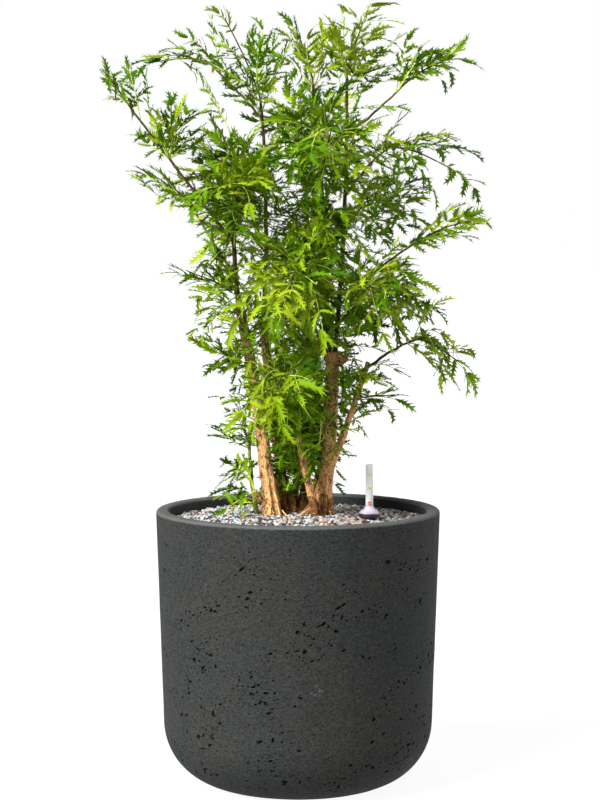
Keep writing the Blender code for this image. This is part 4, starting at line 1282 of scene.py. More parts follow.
class ARALIA_OT_bark(bpy.types.Operator):
    """Build the stems, leaders, boughs and root strands with their bark"""

    bl_idname = "aralia.bark"
    bl_label = "Bark"

    def execute(self, context):
        looks = context.scene.aralia_bark
        sawn = sawn_finish(looks)
        young = young_bark_finish("young_bark", looks)
        bark = bark_finish("bark", looks)
        earthy = bark_finish("root_collar_bark", looks, ROOT_COLLAR)
        shady = bark_finish("shaded_bark", looks, SHADED_HEIGHT)
        special = {"stem_right": earthy, "stem_middle": earthy, "stem_back_left": shady, "stem_back": shady,
                   "shoot_left": green_bark_finish()}
        for limb in LIMBS.values():
            finish, slot, row, sides = young, "dark_bark", BOUGH_ROW, 14
            if limb.name.startswith(("stem", "stub", "shoot")):
                finish, slot, row = special.get(limb.name, bark), "bark", BARK_ROW
                sides = 56 if limb.radii[0] > THICK_STEM else 32
            mesh = bark_mesh([limb], row, sides, looks)
            add_piece(limb.name + "_bark", mesh, [finish, sawn], [limb.name])
        self.roots("root_strands", ROOT_STRANDS, bark, looks)
        # Painted shade: dark strands fill the gap between the stems' feet.
        self.roots("dark_roots", SHADE_ROOTS, shady, looks)
        return {"FINISHED"}

    def roots(self, name, rows, finish, looks):
        """Roots that run down from the side of a stem into the gravel."""
        strands = []
        for k, (bearer, share, turn, (x, y), radius) in enumerate(rows):
            middle, _, reach = LIMBS[bearer].at(share)
            turn = math.radians(turn)
            top = middle + Vector((math.cos(turn), math.sin(turn), 0.0)) * (reach - radius * 0.3)
            foot = Vector((x, y, GRAVEL_TOP - 0.003))
            aside = Vector((x - top.x, y - top.y, 0.0)) * 0.1
            line = bowed_line(foot, top, aside, ROOT_POINTS)
            radii = [radius * (1.3 - 0.05 * n) for n in range(ROOT_POINTS)]
            strands.append(Limb(name + str(k), line, radii))
        add_piece(name, bark_mesh(strands, ROOT_ROW, 12, looks), [finish])


# Foliage

class FoliageLooks(bpy.types.PropertyGroup):
    """Sizes and colours of the foliage."""

    fronds: number_setting("Fronds", "How densely fronds fill a mass's space", 27.0, 160.0)
    leaflet: length_setting("Leaflet", "Length of a leaflet at the middle of a frond", 0.0255)
    compound: number_setting("Compound Fronds", "Share of the long fronds that are divided again", 0.5, 1.0)
    deep: colour_setting("Deep Green", "Colour of the oldest fronds", (0.028, 0.083, 0.001))
    green: colour_setting("Green", "Colour of most fronds", (0.078, 0.162, 0.001))
    lime: colour_setting("Lime", "Colour of the youngest fronds", (0.205, 0.272, 0.008))


STALK_COLOURS = ((0.18, 0.28, 0.02), (0.52, 0.62, 0.09))
# Radii at the foot and the tip.
MAIN_TWIG = (0.0012, 0.0006)
SIDE_TWIG = (0.0008, 0.0005)
STALK = (0.00088, 0.00038)
SIDE_STALK = (0.00036, 0.00022)
# Shares of the leaf colours, from the deepest green to the palest.
LEAF_TONES = (0.0, 0.2, 0.4, 0.6, 0.8, 1.0)
TONE_DRIFT = (-1, 0, 0, 0, 1)
SHADED_INNER_TONES = (0, 0, 0, 1, 1, 2)
# Tones for the shoots of the inner stems, darker than the others: painted shade inside the crown.
SHOOT_TONES = (1, 1, 2, 2, 3, 3, 4)
PLACES_TRIED = 1400
RIVALS = 12
FROND_DEPTH = 0.007
FROND_LEAST = 0.034
FROND_MOST = 0.078
COMPOUND_SPAN = 0.052
TWIG_SIDES = 6
STALK_SIDES = 3
STALK_STEPS = 9
BOX_MARGIN = 0.0004
# Places (x, y, z) where fronds are paler, and how far each reaches: the first two are young growth at the
# top, the next two at the front are painted light, and the last two only make the fronds there paler.
YOUNG_AND_LIT_GROWTH = (
    ((0.064, -0.03, 0.905), 0.06),
    ((0.018, -0.01, 0.866), 0.04),
    ((-0.02, -0.15, 0.59), 0.04),
    ((-0.04, -0.12, 0.46), 0.04),
    ((0.11, -0.09, 0.62), 0.03),
    ((0.175, -0.032, 0.52), 0.05),
)

# Small fronds that grow straight from the stems: limb, shares from and to, count, lean, reach, bare share.
SHOOTS = (
    ("stem_back_left", 0.12, 0.95, 30, (0.5, -0.6, 0.5), 0.042, 0.3),
    ("stem_back_left", 0.26, 0.64, 34, (0.6, -0.4, 0.2), 0.034, 0.3),
    ("stem_back", 0.3, 0.95, 30, (-0.3, -0.8, 0.4), 0.046, 0.3),
    ("stem_middle", 0.36, 1.0, 34, (-0.6, 0.1, 0.4), 0.036, 0.25),
    ("stem_back", 0.36, 0.7, 34, (-0.5, -0.5, 0.3), 0.036, 0.25),
    ("stem_back", 0.34, 0.62, 30, (0.6, -0.4, 0.2), 0.036, 0.25),
    ("shoot_left", 0.1, 1.0, 12, (-0.6, -0.2, 0.2), 0.034, 0.4),
    ("stub_left", 0.3, 1.0, 6, (-0.8, -0.2, 0.5), 0.036, 0.5),
    ("stem_left", 0.34, 0.98, 18, (-0.8, -0.3, 0.4), 0.042, 0.4),
    ("stem_left", 0.3, 0.98, 16, (0.5, -0.7, 0.3), 0.046, 0.45),
    ("stem_right", 0.3, 0.98, 14, (-0.8, -0.4, 0.2), 0.04, 0.3),
    ("stem_right", 0.72, 1.0, 10, (0.5, -0.8, 0.2), 0.044, 0.3),
    ("stem_outer", 0.15, 1.0, 20, (0.3, -0.5, 0.5), 0.042, 0.35),
    ("leader_right", 0.0, 0.22, 14, (0.6, -0.6, 0.1), 0.056, 0.3),
    ("leader_right", 0.22, 0.9, 10, (0.5, -0.5, 0.4), 0.056, 0.3),
    ("leader_centre", 0.0, 0.9, 18, (-0.2, -0.8, 0.3), 0.056, 0.3),
    ("leader_left", 0.0, 0.9, 14, (-0.3, -0.7, 0.4), 0.054, 0.3),
    ("leader_back_left", 0.0, 0.9, 16, (0.1, -0.7, 0.4), 0.056, 0.3),
    ("leader_back", 0.0, 0.9, 12, (0.0, 0.4, 0.4), 0.056, 0.3),
)
INNER_STEMS = ("stem_back", "stem_back_left")
SHOOT_SPREAD = 0.75
SHOOT_LEAFLET = 0.0185

# Fronds that stand out singly, with their place on a bough and where they reach.
OUTER_GROWTH = 1.12
OUTER_FRONDS = (
    # bearer, share, reach, rise, leaflet, bare share, group, tone
    ("bough_top_left", 1.0, (-0.18, 0.026, 0.866), 0.016, 0.019, 0.32, "left", 2),
    ("bough_top_left", 0.92, (-0.148, 0.012, 0.878), 0.014, 0.017, 0.4, "left", 2),
    ("bough_top_left", 0.86, (-0.104, -0.012, 0.92), 0.0, 0.012, 0.25, "top", 2),
    ("bough_top_left", 0.95, (-0.129, -0.004, 0.889), 0.014, 0.017, 0.25, "left", 1),
    ("bough_far_left", 1.0, (-0.225, -0.046, 0.843), 0.004, 0.016, 0.16, "left", 2),
    ("bough_far_left", 0.97, (-0.181, -0.034, 0.823), 0.004, 0.015, 0.2, "left", 2),
    ("bough_far_left", 1.0, (-0.214, -0.044, 0.816), 0.004, 0.013, 0.3, "left", 3),
    ("leader_left", 1.0, (-0.111, -0.03, 0.838), 0.0, 0.0145, 0.42, "left", 3),
    ("bough_far_left", 0.7, (-0.11, -0.02, 0.801), 0.02, 0.019, 0.3, "left", 2),
    ("bough_far_left", 0.62, (-0.173, -0.03, 0.774), 0.02, 0.019, 0.3, "left", 2),
    ("bough_left", 1.0, (-0.181, 0.026, 0.726), 0.01, 0.018, 0.25, "left", 2),
    ("bough_top_right", 1.0, (0.183, -0.034, 0.87), 0.004, 0.021, 0.28, "right", 3),
    ("bough_top_right", 0.92, (0.166, -0.03, 0.862), 0.014, 0.019, 0.35, "right", 3),
    ("bough_top_right", 0.96, (0.14, -0.028, 0.87), 0.004, 0.018, 0.28, "right", 4),
    ("bough_right", 1.0, (0.204, 0.03, 0.757), 0.016, 0.022, 0.32, "right", 1),
    ("bough_right", 0.95, (0.173, 0.02, 0.775), 0.01, 0.022, 0.28, "right", 2),
    ("bough_right_low", 1.0, (0.22, -0.04, 0.673), 0.01, 0.019, 0.3, "right", 3),
    ("bough_right_low", 0.94, (0.192, -0.034, 0.656), 0.01, 0.019, 0.35, "right", 2),
    ("bough_droop", 1.0, (0.194, -0.03, 0.503), 0.05, 0.033, 0.4, "low_right", 5),
    ("bough_droop", 0.96, (0.165, -0.032, 0.515), 0.036, 0.03, 0.45, "low_right", 4),
    ("bough_droop", 1.0, (0.161, -0.02, 0.573), 0.012, 0.024, 0.35, "low_right", 4),
    ("leader_right", 1.0, (0.082, -0.032, 0.921), 0.004, 0.016, 0.25, "top", 5),
    ("leader_right", 0.97, (0.052, -0.022, 0.915), 0.004, 0.015, 0.3, "top", 5),
    ("leader_centre", 1.0, (-0.01, 0.04, 0.908), 0.01, 0.013, 0.4, "top", 4),
    ("leader_centre", 1.0, (0.028, 0.01, 0.897), 0.006, 0.016, 0.2, "top", 5),
    ("leader_right", 1.0, (0.042, -0.02, 0.884), 0.004, 0.017, 0.15, "top", 4),
    ("leader_right", 1.0, (0.064, -0.012, 0.89), 0.004, 0.016, 0.15, "top", 3),
    ("leader_right", 0.97, (0.092, -0.03, 0.868), 0.01, 0.018, 0.25, "top", 2),
    ("leader_right", 0.92, (0.1, -0.02, 0.846), 0.01, 0.017, 0.3, "top", 1),
    ("bough_far_left", 0.9, (-0.196, -0.044, 0.848), 0.01, 0.016, 0.3, "left", 1),
    ("bough_far_left", 0.8, (-0.178, -0.04, 0.836), 0.01, 0.016, 0.3, "left", 2),
    ("leader_back_left", 1.0, (-0.03, -0.01, 0.878), 0.006, 0.018, 0.2, "top", 2),
    ("leader_back_left", 1.0, (-0.054, -0.022, 0.886), 0.006, 0.017, 0.2, "top", 1),
    ("leader_back_left", 0.95, (-0.016, -0.032, 0.868), 0.01, 0.019, 0.2, "top", 3),
    ("leader_back_left", 0.9, (-0.066, -0.034, 0.852), 0.01, 0.018, 0.2, "top", 2),
    ("leader_right", 0.95, (0.112, -0.03, 0.882), 0.006, 0.017, 0.25, "top", 2),
    ("leader_right", 0.9, (0.12, -0.018, 0.858), 0.01, 0.017, 0.25, "top", 1),
    ("bough_top_right", 0.9, (0.128, -0.03, 0.884), 0.004, 0.016, 0.25, "right", 2),
    ("bough_right", 0.85, (0.118, 0.012, 0.79), 0.01, 0.018, 0.25, "right", 1),
    ("stem_left", 0.96, (-0.118, -0.04, 0.548), 0.016, 0.02, 0.25, "low_left", 2),
    ("stem_left", 0.98, (-0.112, -0.05, 0.566), 0.014, 0.02, 0.25, "low_left", 3),
    ("stem_outer", 0.95, (0.114, -0.04, 0.5), 0.01, 0.02, 0.3, "low_right", 2),
    # The pale fronds at the front below: their pale tones are painted light.
    ("bough_front", 1.0, (0.028, -0.16, 0.55), 0.03, 0.034, 0.3, "front", 4),
    ("bough_front", 1.0, (-0.068, -0.15, 0.562), 0.03, 0.032, 0.35, "front", 4),
    ("bough_front", 1.0, (-0.022, -0.163, 0.556), 0.02, 0.03, 0.35, "front", 5),
    ("stem_middle", 1.0, (-0.046, -0.152, 0.48), 0.035, 0.034, 0.5, "low_left", 5),
    ("stem_middle", 0.98, (0.002, -0.152, 0.48), 0.03, 0.032, 0.5, "low_left", 4),
    ("stem_middle", 0.96, (-0.062, -0.136, 0.458), 0.03, 0.03, 0.45, "low_left", 4),
)


class Mass:
    """One mass of foliage: its stem, its spindle of space and its borders with the others."""

    def __init__(self, name, bearer, share, tip, girth, fullness, sag, leaflet):
        self.rng = random.Random("foliage_" + name)
        self.bearer, self.share, self.tip = LIMBS[bearer], share, Vector(tip)
        self.girth, self.fullness, self.sag, self.leaflet = girth, fullness, sag, leaflet
        point, direction, radius = self.bearer.at(share)
        heading, gap = direction, CLEARANCE
        if share < 1.0:
            heading, gap = squared(self.tip - point, direction), radius + CLEARANCE
        foot = point + heading * gap
        neck = foot + heading * NECK_LENGTH
        reach = self.tip - neck
        lift = UP * (STEM_LIFT * reach.length)
        start = neck - reach * MASS_OVERRUN
        self.stem = [foot, neck] + [neck.lerp(self.tip, bend) + lift for bend in STEM_BENDS]
        self.axis = reach.normalized()
        self.upper = (UP - self.axis * self.axis.z).normalized()
        self.centre = (start + self.tip) / 2
        self.half_length = (self.tip - start).length / 2 + TIP_MARGIN

    def power(self, point):
        """How far a point lies from the mass, as a weighted square."""
        return (point - self.centre).length_squared - self.girth ** 2

    def contains(self, point, masses, depth=0.0):
        """Whether a point lies in the mass's own space, at some depth under its skin."""
        if point.z < FOLIAGE_FLOOR + depth:
            return False
        offset = point - self.centre
        along = offset.dot(self.axis)
        across = (offset - self.axis * along).length
        if (along / (self.half_length - depth)) ** 2 + (across / (self.girth - depth)) ** 2 > 1.0:
            return False
        own = self.power(point)
        for other in masses:
            margin = 2 * (SPACE_MARGIN - depth) * (other.centre - self.centre).length
            if other is not self and other.power(point) - own < margin:
                return False
        return True


def leaf_outline(teeth, width, tooth, ribbed):
    """Corners and triangles of a leaflet 1 long, with pointed teeth that lean to its tip."""
    stations = [0.1 + 0.7 * k / teeth for k in range(teeth + 1)]
    corners = [(0.0, 0.0), (1.0, 0.0)] + [(x, 0.0) for x in stations] * ribbed
    margins = {}
    for side in (1.0, -1.0):
        margins[side] = list(range(len(corners), len(corners) + teeth + 1))
        for x in stations:
            swell = math.sin(math.pi * min(1.0, 0.16 + x * 0.9) ** 0.8)
            corners.append((x, side * width * (0.35 + 0.65 * swell)))
    faces = []
    for side, margin in margins.items():
        inner = list(range(2, 3 + teeth)) if ribbed else margins[-side]
        rows = []
        for k in range(teeth):
            x = stations[k + 1] + (0.12 if (k + (side > 0)) % 2 else 0.07)
            swell = math.sin(math.pi * min(1.0, 0.22 + stations[k] * 0.8))
            corners.append(between(corners[margin[k]], corners[margin[k + 1]], LOBE_START))
            corners.append((x, side * tooth * (0.45 + 0.55 * swell)))
            rows.append((len(corners) - 2, margin[k + 1], len(corners) - 1))
        if ribbed or side > 0.0:
            rows += [(0, inner[0], margin[0]), (inner[-1], 1, margin[-1])]
            for k in range(teeth):
                rows += [(inner[k], inner[k + 1], margin[k + 1]), (inner[k], margin[k + 1], margin[k])]
        faces += rows if side > 0.0 else [row[::-1] for row in rows]
    return corners, faces


def leaf_template(kind, sign):
    """A leaflet's corners, folded along its midrib and curved to its tip, and its faces."""
    teeth, width, tooth, fold, droop, curve, twist = kind
    corners, faces = leaf_outline(teeth, width, tooth, fold > 0.0)
    points = []
    for x, y in corners:
        z = fold * abs(y) - droop * x * x
        turn = twist * x * sign
        points.append((x, y * math.cos(turn) + sign * curve * x * x, z + y * math.sin(turn)))
    return np.array(points), np.array(faces, np.int32)


# Kinds of leaflet; those after the first six are small. A lobe starts at a share of its step.
LEAF_KINDS = (
    # teeth, half width, tooth, fold, droop, curve, twist
    (3, 0.088, 0.19, 0.34, 0.14, 0.34, 0.5),
    (3, 0.098, 0.215, 0.28, 0.3, 0.5, -0.7),
    (4, 0.08, 0.19, 0.32, 0.22, 0.6, 0.4),
    (4, 0.084, 0.205, 0.3, 0.38, 0.18, 0.9),
    (4, 0.09, 0.225, 0.24, 0.26, -0.36, -0.5),
    (3, 0.112, 0.26, 0.22, 0.2, 0.14, 0.2),
    (2, 0.09, 0.19, 0.0, 0.08, 0.25, 0.5),
    (2, 0.08, 0.17, 0.0, 0.25, 0.42, -0.7),
    (2, 0.1, 0.21, 0.0, 0.12, -0.2, 0.9),
)
SMALL_KINDS = 6
KIND_WEIGHTS = (0.23, 0.2, 0.2, 0.18, 0.16, 0.03)
SMALL_LEAF = 0.0125
LOBE_START = 0.38

# Where the leaves in front of a stem are thin: limb, shares from and to, half width, share kept.
BARK_SHOWN = (
    ("stem_left", 0.02, 0.4, 0.011, 0.25),
    ("stem_left", 0.42, 0.92, 0.0066, 0.64),
    ("stem_right", 0.02, 0.3, 0.02, 0.15),
    ("stem_right", 0.3, 0.98, 0.009, 0.34),
    ("stem_back", 0.02, 0.22, 0.012, 0.15),
    ("stem_back_left", 0.02, 0.22, 0.011, 0.2),
    ("stem_middle", 0.02, 0.62, 0.0065, 0.45),
    ("stem_outer", 0.1, 0.6, 0.006, 0.45),
    ("stem_back_left", 0.7, 1.0, 0.0055, 0.4),
)
BARK_POINTS = 24


class Foliage:
    """Leaflets, stalks and twigs as they grow."""

    def __init__(self, looks):
        self.looks = looks
        groups = [*LEAF_GROUPS, "shoots"]
        self.leaflets = {group: {kind: [] for kind in range(2 * len(LEAF_KINDS))} for group in groups}
        self.stalks = []
        self.twigs = []
        self.windows = []
        for limb, low, high, half, kept in BARK_SHOWN:
            for k in range(BARK_POINTS):
                place = LIMBS[limb].at(low + (high - low) * k / (BARK_POINTS - 1))[0]
                self.windows.append((place, half, kept))
        margin = Vector((BOX_MARGIN,) * 3)
        self.low = Vector(CAD_BOX[0]) + margin
        self.high = Vector(CAD_BOX[1]) - margin

    def inside(self, point):
        """Whether a point lies inside the solids' box."""
        return all(low < value < high for low, value, high in zip(self.low, point, self.high))

    def veiled(self, rng, point):
        """Whether a leaflet is left out because bark shows there."""
        for place, half, kept in self.windows:
            nearer = place.y - point.y
            aside = point.x - place.x * (1.0 - 0.4 * nearer)
            if nearer > 0.0 and math.hypot(aside, point.z - place.z) < half:
                return rng.random() > kept
        return False

    def leaflet(self, group, rng, base, direction, normal, length, tone, sign=1.0):
        """Add one leaflet, shortened where it would leave the solids' box."""
        if self.veiled(rng, base + direction * (length * 0.5)):
            return
        side = normal.cross(direction).normalized()
        normal = direction.cross(side)
        kind = rng.randrange(SMALL_KINDS, len(LEAF_KINDS))
        if length > SMALL_LEAF:
            kind = rng.choices(range(SMALL_KINDS), KIND_WEIGHTS)[0]
        droop, curve = LEAF_KINDS[kind][4:6]
        tip = direction + side * (sign * curve) - normal * droop
        for shorter in (1.0, 0.8, 0.62, 0.45):
            if self.inside(base + tip * (length * shorter)):
                break
        else:
            return
        length *= shorter
        tone = min(max(tone + rng.choice(TONE_DRIFT), 0), len(LEAF_TONES) - 1)
        if sign < 0.0:
            kind += len(LEAF_KINDS)
        axes = [part for axis in (direction, side, normal) for part in axis * length]
        self.leaflets[group][kind].append((*base, *axes, tone))


def curve_points(start, middle, end, steps):
    """Points of a bent line whose handle is the middle point."""
    shares = [k / steps for k in range(steps + 1)]
    return [start * (1 - t) ** 2 + middle * (2 * t * (1 - t)) + end * (t * t) for t in shares]


def square_to(direction, roll):
    """A side direction, level but for a roll, and the upper direction square to it."""
    side = direction.cross(UP)
    if side.length < 0.05:
        side = Vector((math.cos(roll * 3), math.sin(roll * 3), 0.0))
    side = side.normalized()
    upper = side.cross(direction).normalized()
    turned = swing(side, upper, roll)
    return turned, turned.cross(direction)


class Frond:
    """One compound leaf: its group, its random numbers, the length of its leaflets and its tone."""

    def __init__(self, foliage, group, rng, leaflet, tone):
        self.foliage, self.group, self.rng = foliage, group, rng
        self.leaflet, self.tone = leaflet, tone

    def add(self, point, direction, normal, length, sign=1.0):
        """One leaflet of the frond."""
        self.foliage.leaflet(self.group, self.rng, point, direction, normal, length, self.tone, sign)

    def pair(self, point, forward, side, upper, length, opening):
        """Two leaflets on either side of a stalk."""
        rng = self.rng
        for sign in (1.0, -1.0):
            lean = opening + rng.uniform(-0.34, 0.34)
            sag = rng.uniform(-0.45, 0.3)
            direction = swing(forward, side * sign, lean) - UP * sag + upper * 0.08
            normal = upper + side * (sign * rng.uniform(-0.7, 0.8)) + forward * rng.uniform(-0.5, 0.5)
            size = length * rng.uniform(0.6, 1.25)
            place = point + forward * rng.uniform(-0.0015, 0.0015)
            self.add(place, direction.normalized(), normal, size, sign)

    def pinna(self, point, forward, side, upper, sign, length, opening):
        """A small side stalk with leaflets of its own."""
        rng = self.rng
        sag = UP * rng.uniform(0.0, 0.28)
        direction = (swing(forward, side * sign, opening) - sag).normalized()
        end = point + direction * length
        if not self.foliage.inside(end):
            return
        handle = point.lerp(end, 0.5) + upper * (0.1 * length)
        line = curve_points(point, handle, end - UP * (0.08 * length), 3)
        self.foliage.stalks.append((line, *SIDE_STALK))
        own_side, own_upper = square_to(direction, rng.uniform(-0.4, 0.4))
        small = self.leaflet * 0.56
        for share in (0.3, 0.66):
            place, along = curve_at(line, share)
            self.pair(place, along, own_side, own_upper, small * (1.1 - 0.2 * share), 0.8)
        self.add(*curve_at(line, 1.0), own_upper, small * 1.5)

    def grow(self, base, goal, rise, compound, bare):
        """A stalk that arches over, bare at first, then with pairs of leaflets up to its tip."""
        rng = self.rng
        span = (goal - base).length
        line = curve_points(base, base.lerp(goal, 0.45) + rise, goal, STALK_STEPS)
        self.foliage.stalks.append((line, *STALK))
        roll = rng.gauss(0.0, 0.6)
        step = self.leaflet * (0.5 if compound else 0.4)
        pairs = max(2, min(7, round(span * (1.0 - bare) / step)))
        for k in range(pairs):
            way = k / pairs
            point, forward = curve_at(line, bare + (0.97 - bare) * way)
            side, upper = square_to(forward, roll)
            opening = 1.22 - 0.42 * way + rng.uniform(-0.12, 0.12)
            if compound and k < max(1, round(pairs * 0.5)):
                for sign in (1.0, -1.0):
                    length = self.leaflet * rng.uniform(0.75, 1.15) * (1.0 - 0.3 * way)
                    self.pinna(point, forward, side, upper, sign, length, opening)
            else:
                size = self.leaflet * (0.82 + 0.55 * way - 0.62 * way * way)
                self.pair(point, forward, side, upper, size, opening)
        point, forward = curve_at(line, 1.0)
        side, upper = square_to(forward, roll)
        self.add(point, forward, upper, self.leaflet * 1.05)
        self.pair(point, forward, side, upper, self.leaflet * 0.7, 0.62)


def free_places(mass, masses):
    """Random places in a mass's own space, under its skin so that the leaflets reach it."""
    rng = mass.rng
    side = mass.axis.orthogonal().normalized()
    other = mass.axis.cross(side)
    places = []
    for _ in range(PLACES_TRIED):
        along = rng.uniform(-1.0, 1.0) * mass.half_length
        radius = mass.girth * math.sqrt(rng.random())
        angle = rng.uniform(0.0, 2.0 * math.pi)
        place = mass.centre + mass.axis * along + swing(side, other, angle) * radius
        low = (place - mass.centre).dot(mass.upper) < -mass.sag * mass.girth
        if not low and mass.contains(place, masses, FROND_DEPTH):
            places.append(place)
    return places


def spread_out(places, count, rng, taken):
    """Places from a list, each the roomiest of a few drawn at random."""
    chosen = list(taken)
    for _ in range(count):
        rivals = [rng.choice(places) for _ in range(RIVALS)]
        chosen.append(max(rivals, key=lambda place: min((place - other).length for other in chosen)))
    return chosen[len(taken):]


def stem_line(mass):
    """The mass's stem, carried on from its last bend towards the furthest tip."""
    corners = mass.stem + [mass.stem[-1].lerp(mass.tip, 0.55) + UP * 0.004]
    line = [a.lerp(b, n / 4) for a, b in zip(corners, corners[1:]) for n in range(4)]
    line.append(corners[-1])
    for _ in range(2):
        line[1:-1] = [(a + b * 2 + c) / 4 for a, b, c in zip(line, line[1:], line[2:])]
    return line


def nodes_along(line, start):
    """Growing points along a twig: place and direction."""
    nodes = []
    travelled = 0.0
    for a, b in zip(line, line[1:]):
        length = (b - a).length
        steps = max(1, round(length / NODE_SPACING))
        for k in range(steps):
            if travelled + length * k / steps >= start:
                nodes.append((a.lerp(b, k / steps), (b - a).normalized()))
        travelled += length
    return nodes


def bearer_nodes(mass, masses):
    """Growing points on a mass's bearer, where it runs through the mass's space."""
    steps = round(mass.bearer.length / NODE_SPACING)
    nodes = [mass.bearer.at(k / steps)[:2] for k in range(steps) if k / steps < mass.share]
    return [node for node in nodes if mass.contains(node[0], masses)]


def best_node(nodes, goal, span):
    """The growing point from which a frond of about the wanted span best reaches the goal."""
    best, least = None, math.inf
    for point, direction in nodes:
        reach = goal - point
        length = reach.length
        if length < 0.012:
            continue
        lean = reach.dot(direction) / length
        cost = abs(length - span) + 0.028 * max(0.0, 0.45 - lean) + 0.012 * max(0.0, -reach.z / length)
        if cost < least:
            best, least = (point, direction), cost
    return best


def grow_mass(foliage, mass, masses, group):
    """Grow a mass's twigs towards its free places, and fronds from the twigs."""
    rng = mass.rng
    looks = foliage.looks
    line = stem_line(mass)
    foliage.twigs.append((line, *MAIN_TWIG))
    nodes = nodes_along(line, 0.014) + bearer_nodes(mass, masses)
    litres = 4.0 / 3.0 * math.pi * mass.half_length * mass.girth ** 2 * 1000.0
    count = round(looks.fronds * litres ** 0.75 * mass.fullness)
    goals = spread_out(free_places(mass, masses), count, rng, [mass.tip])
    goals.append(mass.centre + mass.axis * (mass.half_length - FROND_DEPTH))
    goals.sort(key=lambda goal: min((goal - point).length for point, _ in nodes))
    for goal in goals:
        span = rng.uniform(FROND_LEAST + 0.014, FROND_MOST - 0.014)
        node = best_node(nodes, goal, span)
        if node is None:
            continue
        base, direction = node
        reach = goal - base
        if reach.length > FROND_MOST:
            end = base + reach * (1.0 - span / reach.length)
            middle = base.lerp(end, 0.5) + direction * (0.12 * reach.length) + UP * (0.1 * reach.length)
            twig = curve_points(base, middle, end, 7)
            foliage.twigs.append((twig, *SIDE_TWIG))
            nodes += nodes_along(twig, 0.012)
            base, direction = twig[-1], (twig[-1] - twig[-2]).normalized()
        span = (goal - base).length
        if span < FROND_LEAST * 0.55:
            continue
        outward = goal - mass.centre
        outward = outward.normalized() if outward.length > 0.001 else UP
        leaflet = looks.leaflet * mass.leaflet * rng.uniform(0.78, 1.25)
        compound = rng.random() < looks.compound and span > COMPOUND_SPAN
        rise = UP * (span * rng.uniform(-0.06, 0.24)) + outward * (span * rng.uniform(0.0, 0.12))
        rise += direction.cross(goal - base).normalized() * (span * rng.gauss(0.0, 0.16))
        frond = Frond(foliage, group, rng, leaflet, frond_tone(mass, goal, rng))
        frond.grow(base, goal, rise, compound, rng.uniform(0.22, 0.4))


def frond_tone(mass, goal, rng):
    """A frond's colour: paler in young growth, paler towards the outside of the crown (partly younger leaves,
    partly painted shade on the inner ones), and paler towards the front, painted light.
    """
    # Partly painted shade: fronds near a mass's middle are darker.
    out = min(1.0, (goal - mass.centre).length / mass.girth)
    # Painted light: fronds towards the front are paler.
    front = -goal.y / 0.17
    share = 0.45 + 0.16 * (out - 0.7) + 0.1 * front + rng.gauss(0.0, 0.24)
    for place, reach in YOUNG_AND_LIT_GROWTH:
        share += 0.55 * math.exp(-((goal - Vector(place)).length / reach) ** 2)
    if rng.random() < 0.08:
        share += 0.3
    return min(range(len(LEAF_TONES)), key=lambda k: abs(LEAF_TONES[k] - share))


def grow_shoots(foliage):
    """The small fronds that grow straight from the stems and leaders."""
    rng = random.Random("shoots")
    for limb, low, high, count, lean, reach, bare in SHOOTS:
        for _ in range(count):
            base = LIMBS[limb].at(rng.uniform(low, high))[0]
            aside = Vector((rng.gauss(0.0, 1.0), rng.gauss(0.0, 1.0), rng.gauss(0.0, 1.0))) * SHOOT_SPREAD
            span = reach * rng.uniform(0.6, 1.3)
            goal = base + (Vector(lean) + aside).normalized() * span
            if goal.z < FOLIAGE_FLOOR or not foliage.inside(goal):
                continue
            tone = rng.choice(SHADED_INNER_TONES if limb in INNER_STEMS else SHOOT_TONES)
            frond = Frond(foliage, "shoots", rng, SHOOT_LEAFLET * rng.uniform(0.75, 1.25), tone)
            rise = UP * (span * rng.uniform(0.0, 0.3))
            frond.grow(base, goal, rise, rng.random() < 0.25, bare * rng.uniform(0.7, 1.3))


def grow_outer_fronds(foliage):
    """The fronds that stand out singly at the border of the crown."""
    rng = random.Random("outer fronds")
    for bearer, share, goal, rise, leaflet, bare, group, tone in OUTER_FRONDS:
        base = LIMBS[bearer].at(share)[0]
        frond = Frond(foliage, group, rng, leaflet * OUTER_GROWTH, tone)
        frond.grow(base, Vector(goal), UP * rise, False, bare)


def leaf_mesh(kinds, templates):
    """One mesh of a group's leaflets, each set in place by its own three axes."""
    points, faces, slots = [], [], []
    count = 0
    for rows, (corners, own_faces) in zip(kinds.values(), templates):
        if not rows:
            continue
        rows = np.array(rows)
        base, *axes = [rows[:, None, k:k + 3] for k in (0, 3, 6, 9)]
        placed = sum((corners[None, :, k:k + 1] * axis for k, axis in enumerate(axes)), base)
        starts = count + np.arange(len(rows)) * len(corners)
        points.append(np.clip(placed.reshape(-1, 3), CAD_BOX[0], CAD_BOX[1]))
        faces.append((own_faces[None, :, :] + starts[:, None, None]).reshape(-1, 3))
        slots.append(np.repeat(rows[:, 12], len(own_faces)))
        count += len(rows) * len(corners)
    return mesh_from(np.concatenate(points), np.concatenate(faces), np.concatenate(slots), smooth=False)


def tube_mesh(lines, sides):
    """One mesh of many thin tubes, each closed to a point at its end."""
    points, faces = [], []
    for line, foot_radius, tip_radius in lines:
        start, last = len(points), len(line) - 1
        side = (line[1] - line[0]).normalized().orthogonal()
        for k, point in enumerate(line):
            direction = (line[min(k + 1, last)] - line[max(k - 1, 0)]).normalized()
            side = squared(side, direction)
            across = direction.cross(side)
            radius = foot_radius + (tip_radius - foot_radius) * k / last
            for angle in round_ring(sides):
                points.append(point + swing(side, across, angle) * radius)
        for k in range(last):
            for a, b, c, d in band(start + k * sides, start + (k + 1) * sides, sides):
                faces += [(a, b, c), (a, c, d)]
        top, tip = start + last * sides, len(points)
        points.append(line[-1] + (line[-1] - line[-2]).normalized() * tip_radius)
        faces += [(top + j, top + (j + 1) % sides, tip) for j in range(sides)]
    return mesh_from(np.clip([tuple(point) for point in points], CAD_BOX[0], CAD_BOX[1]), faces)


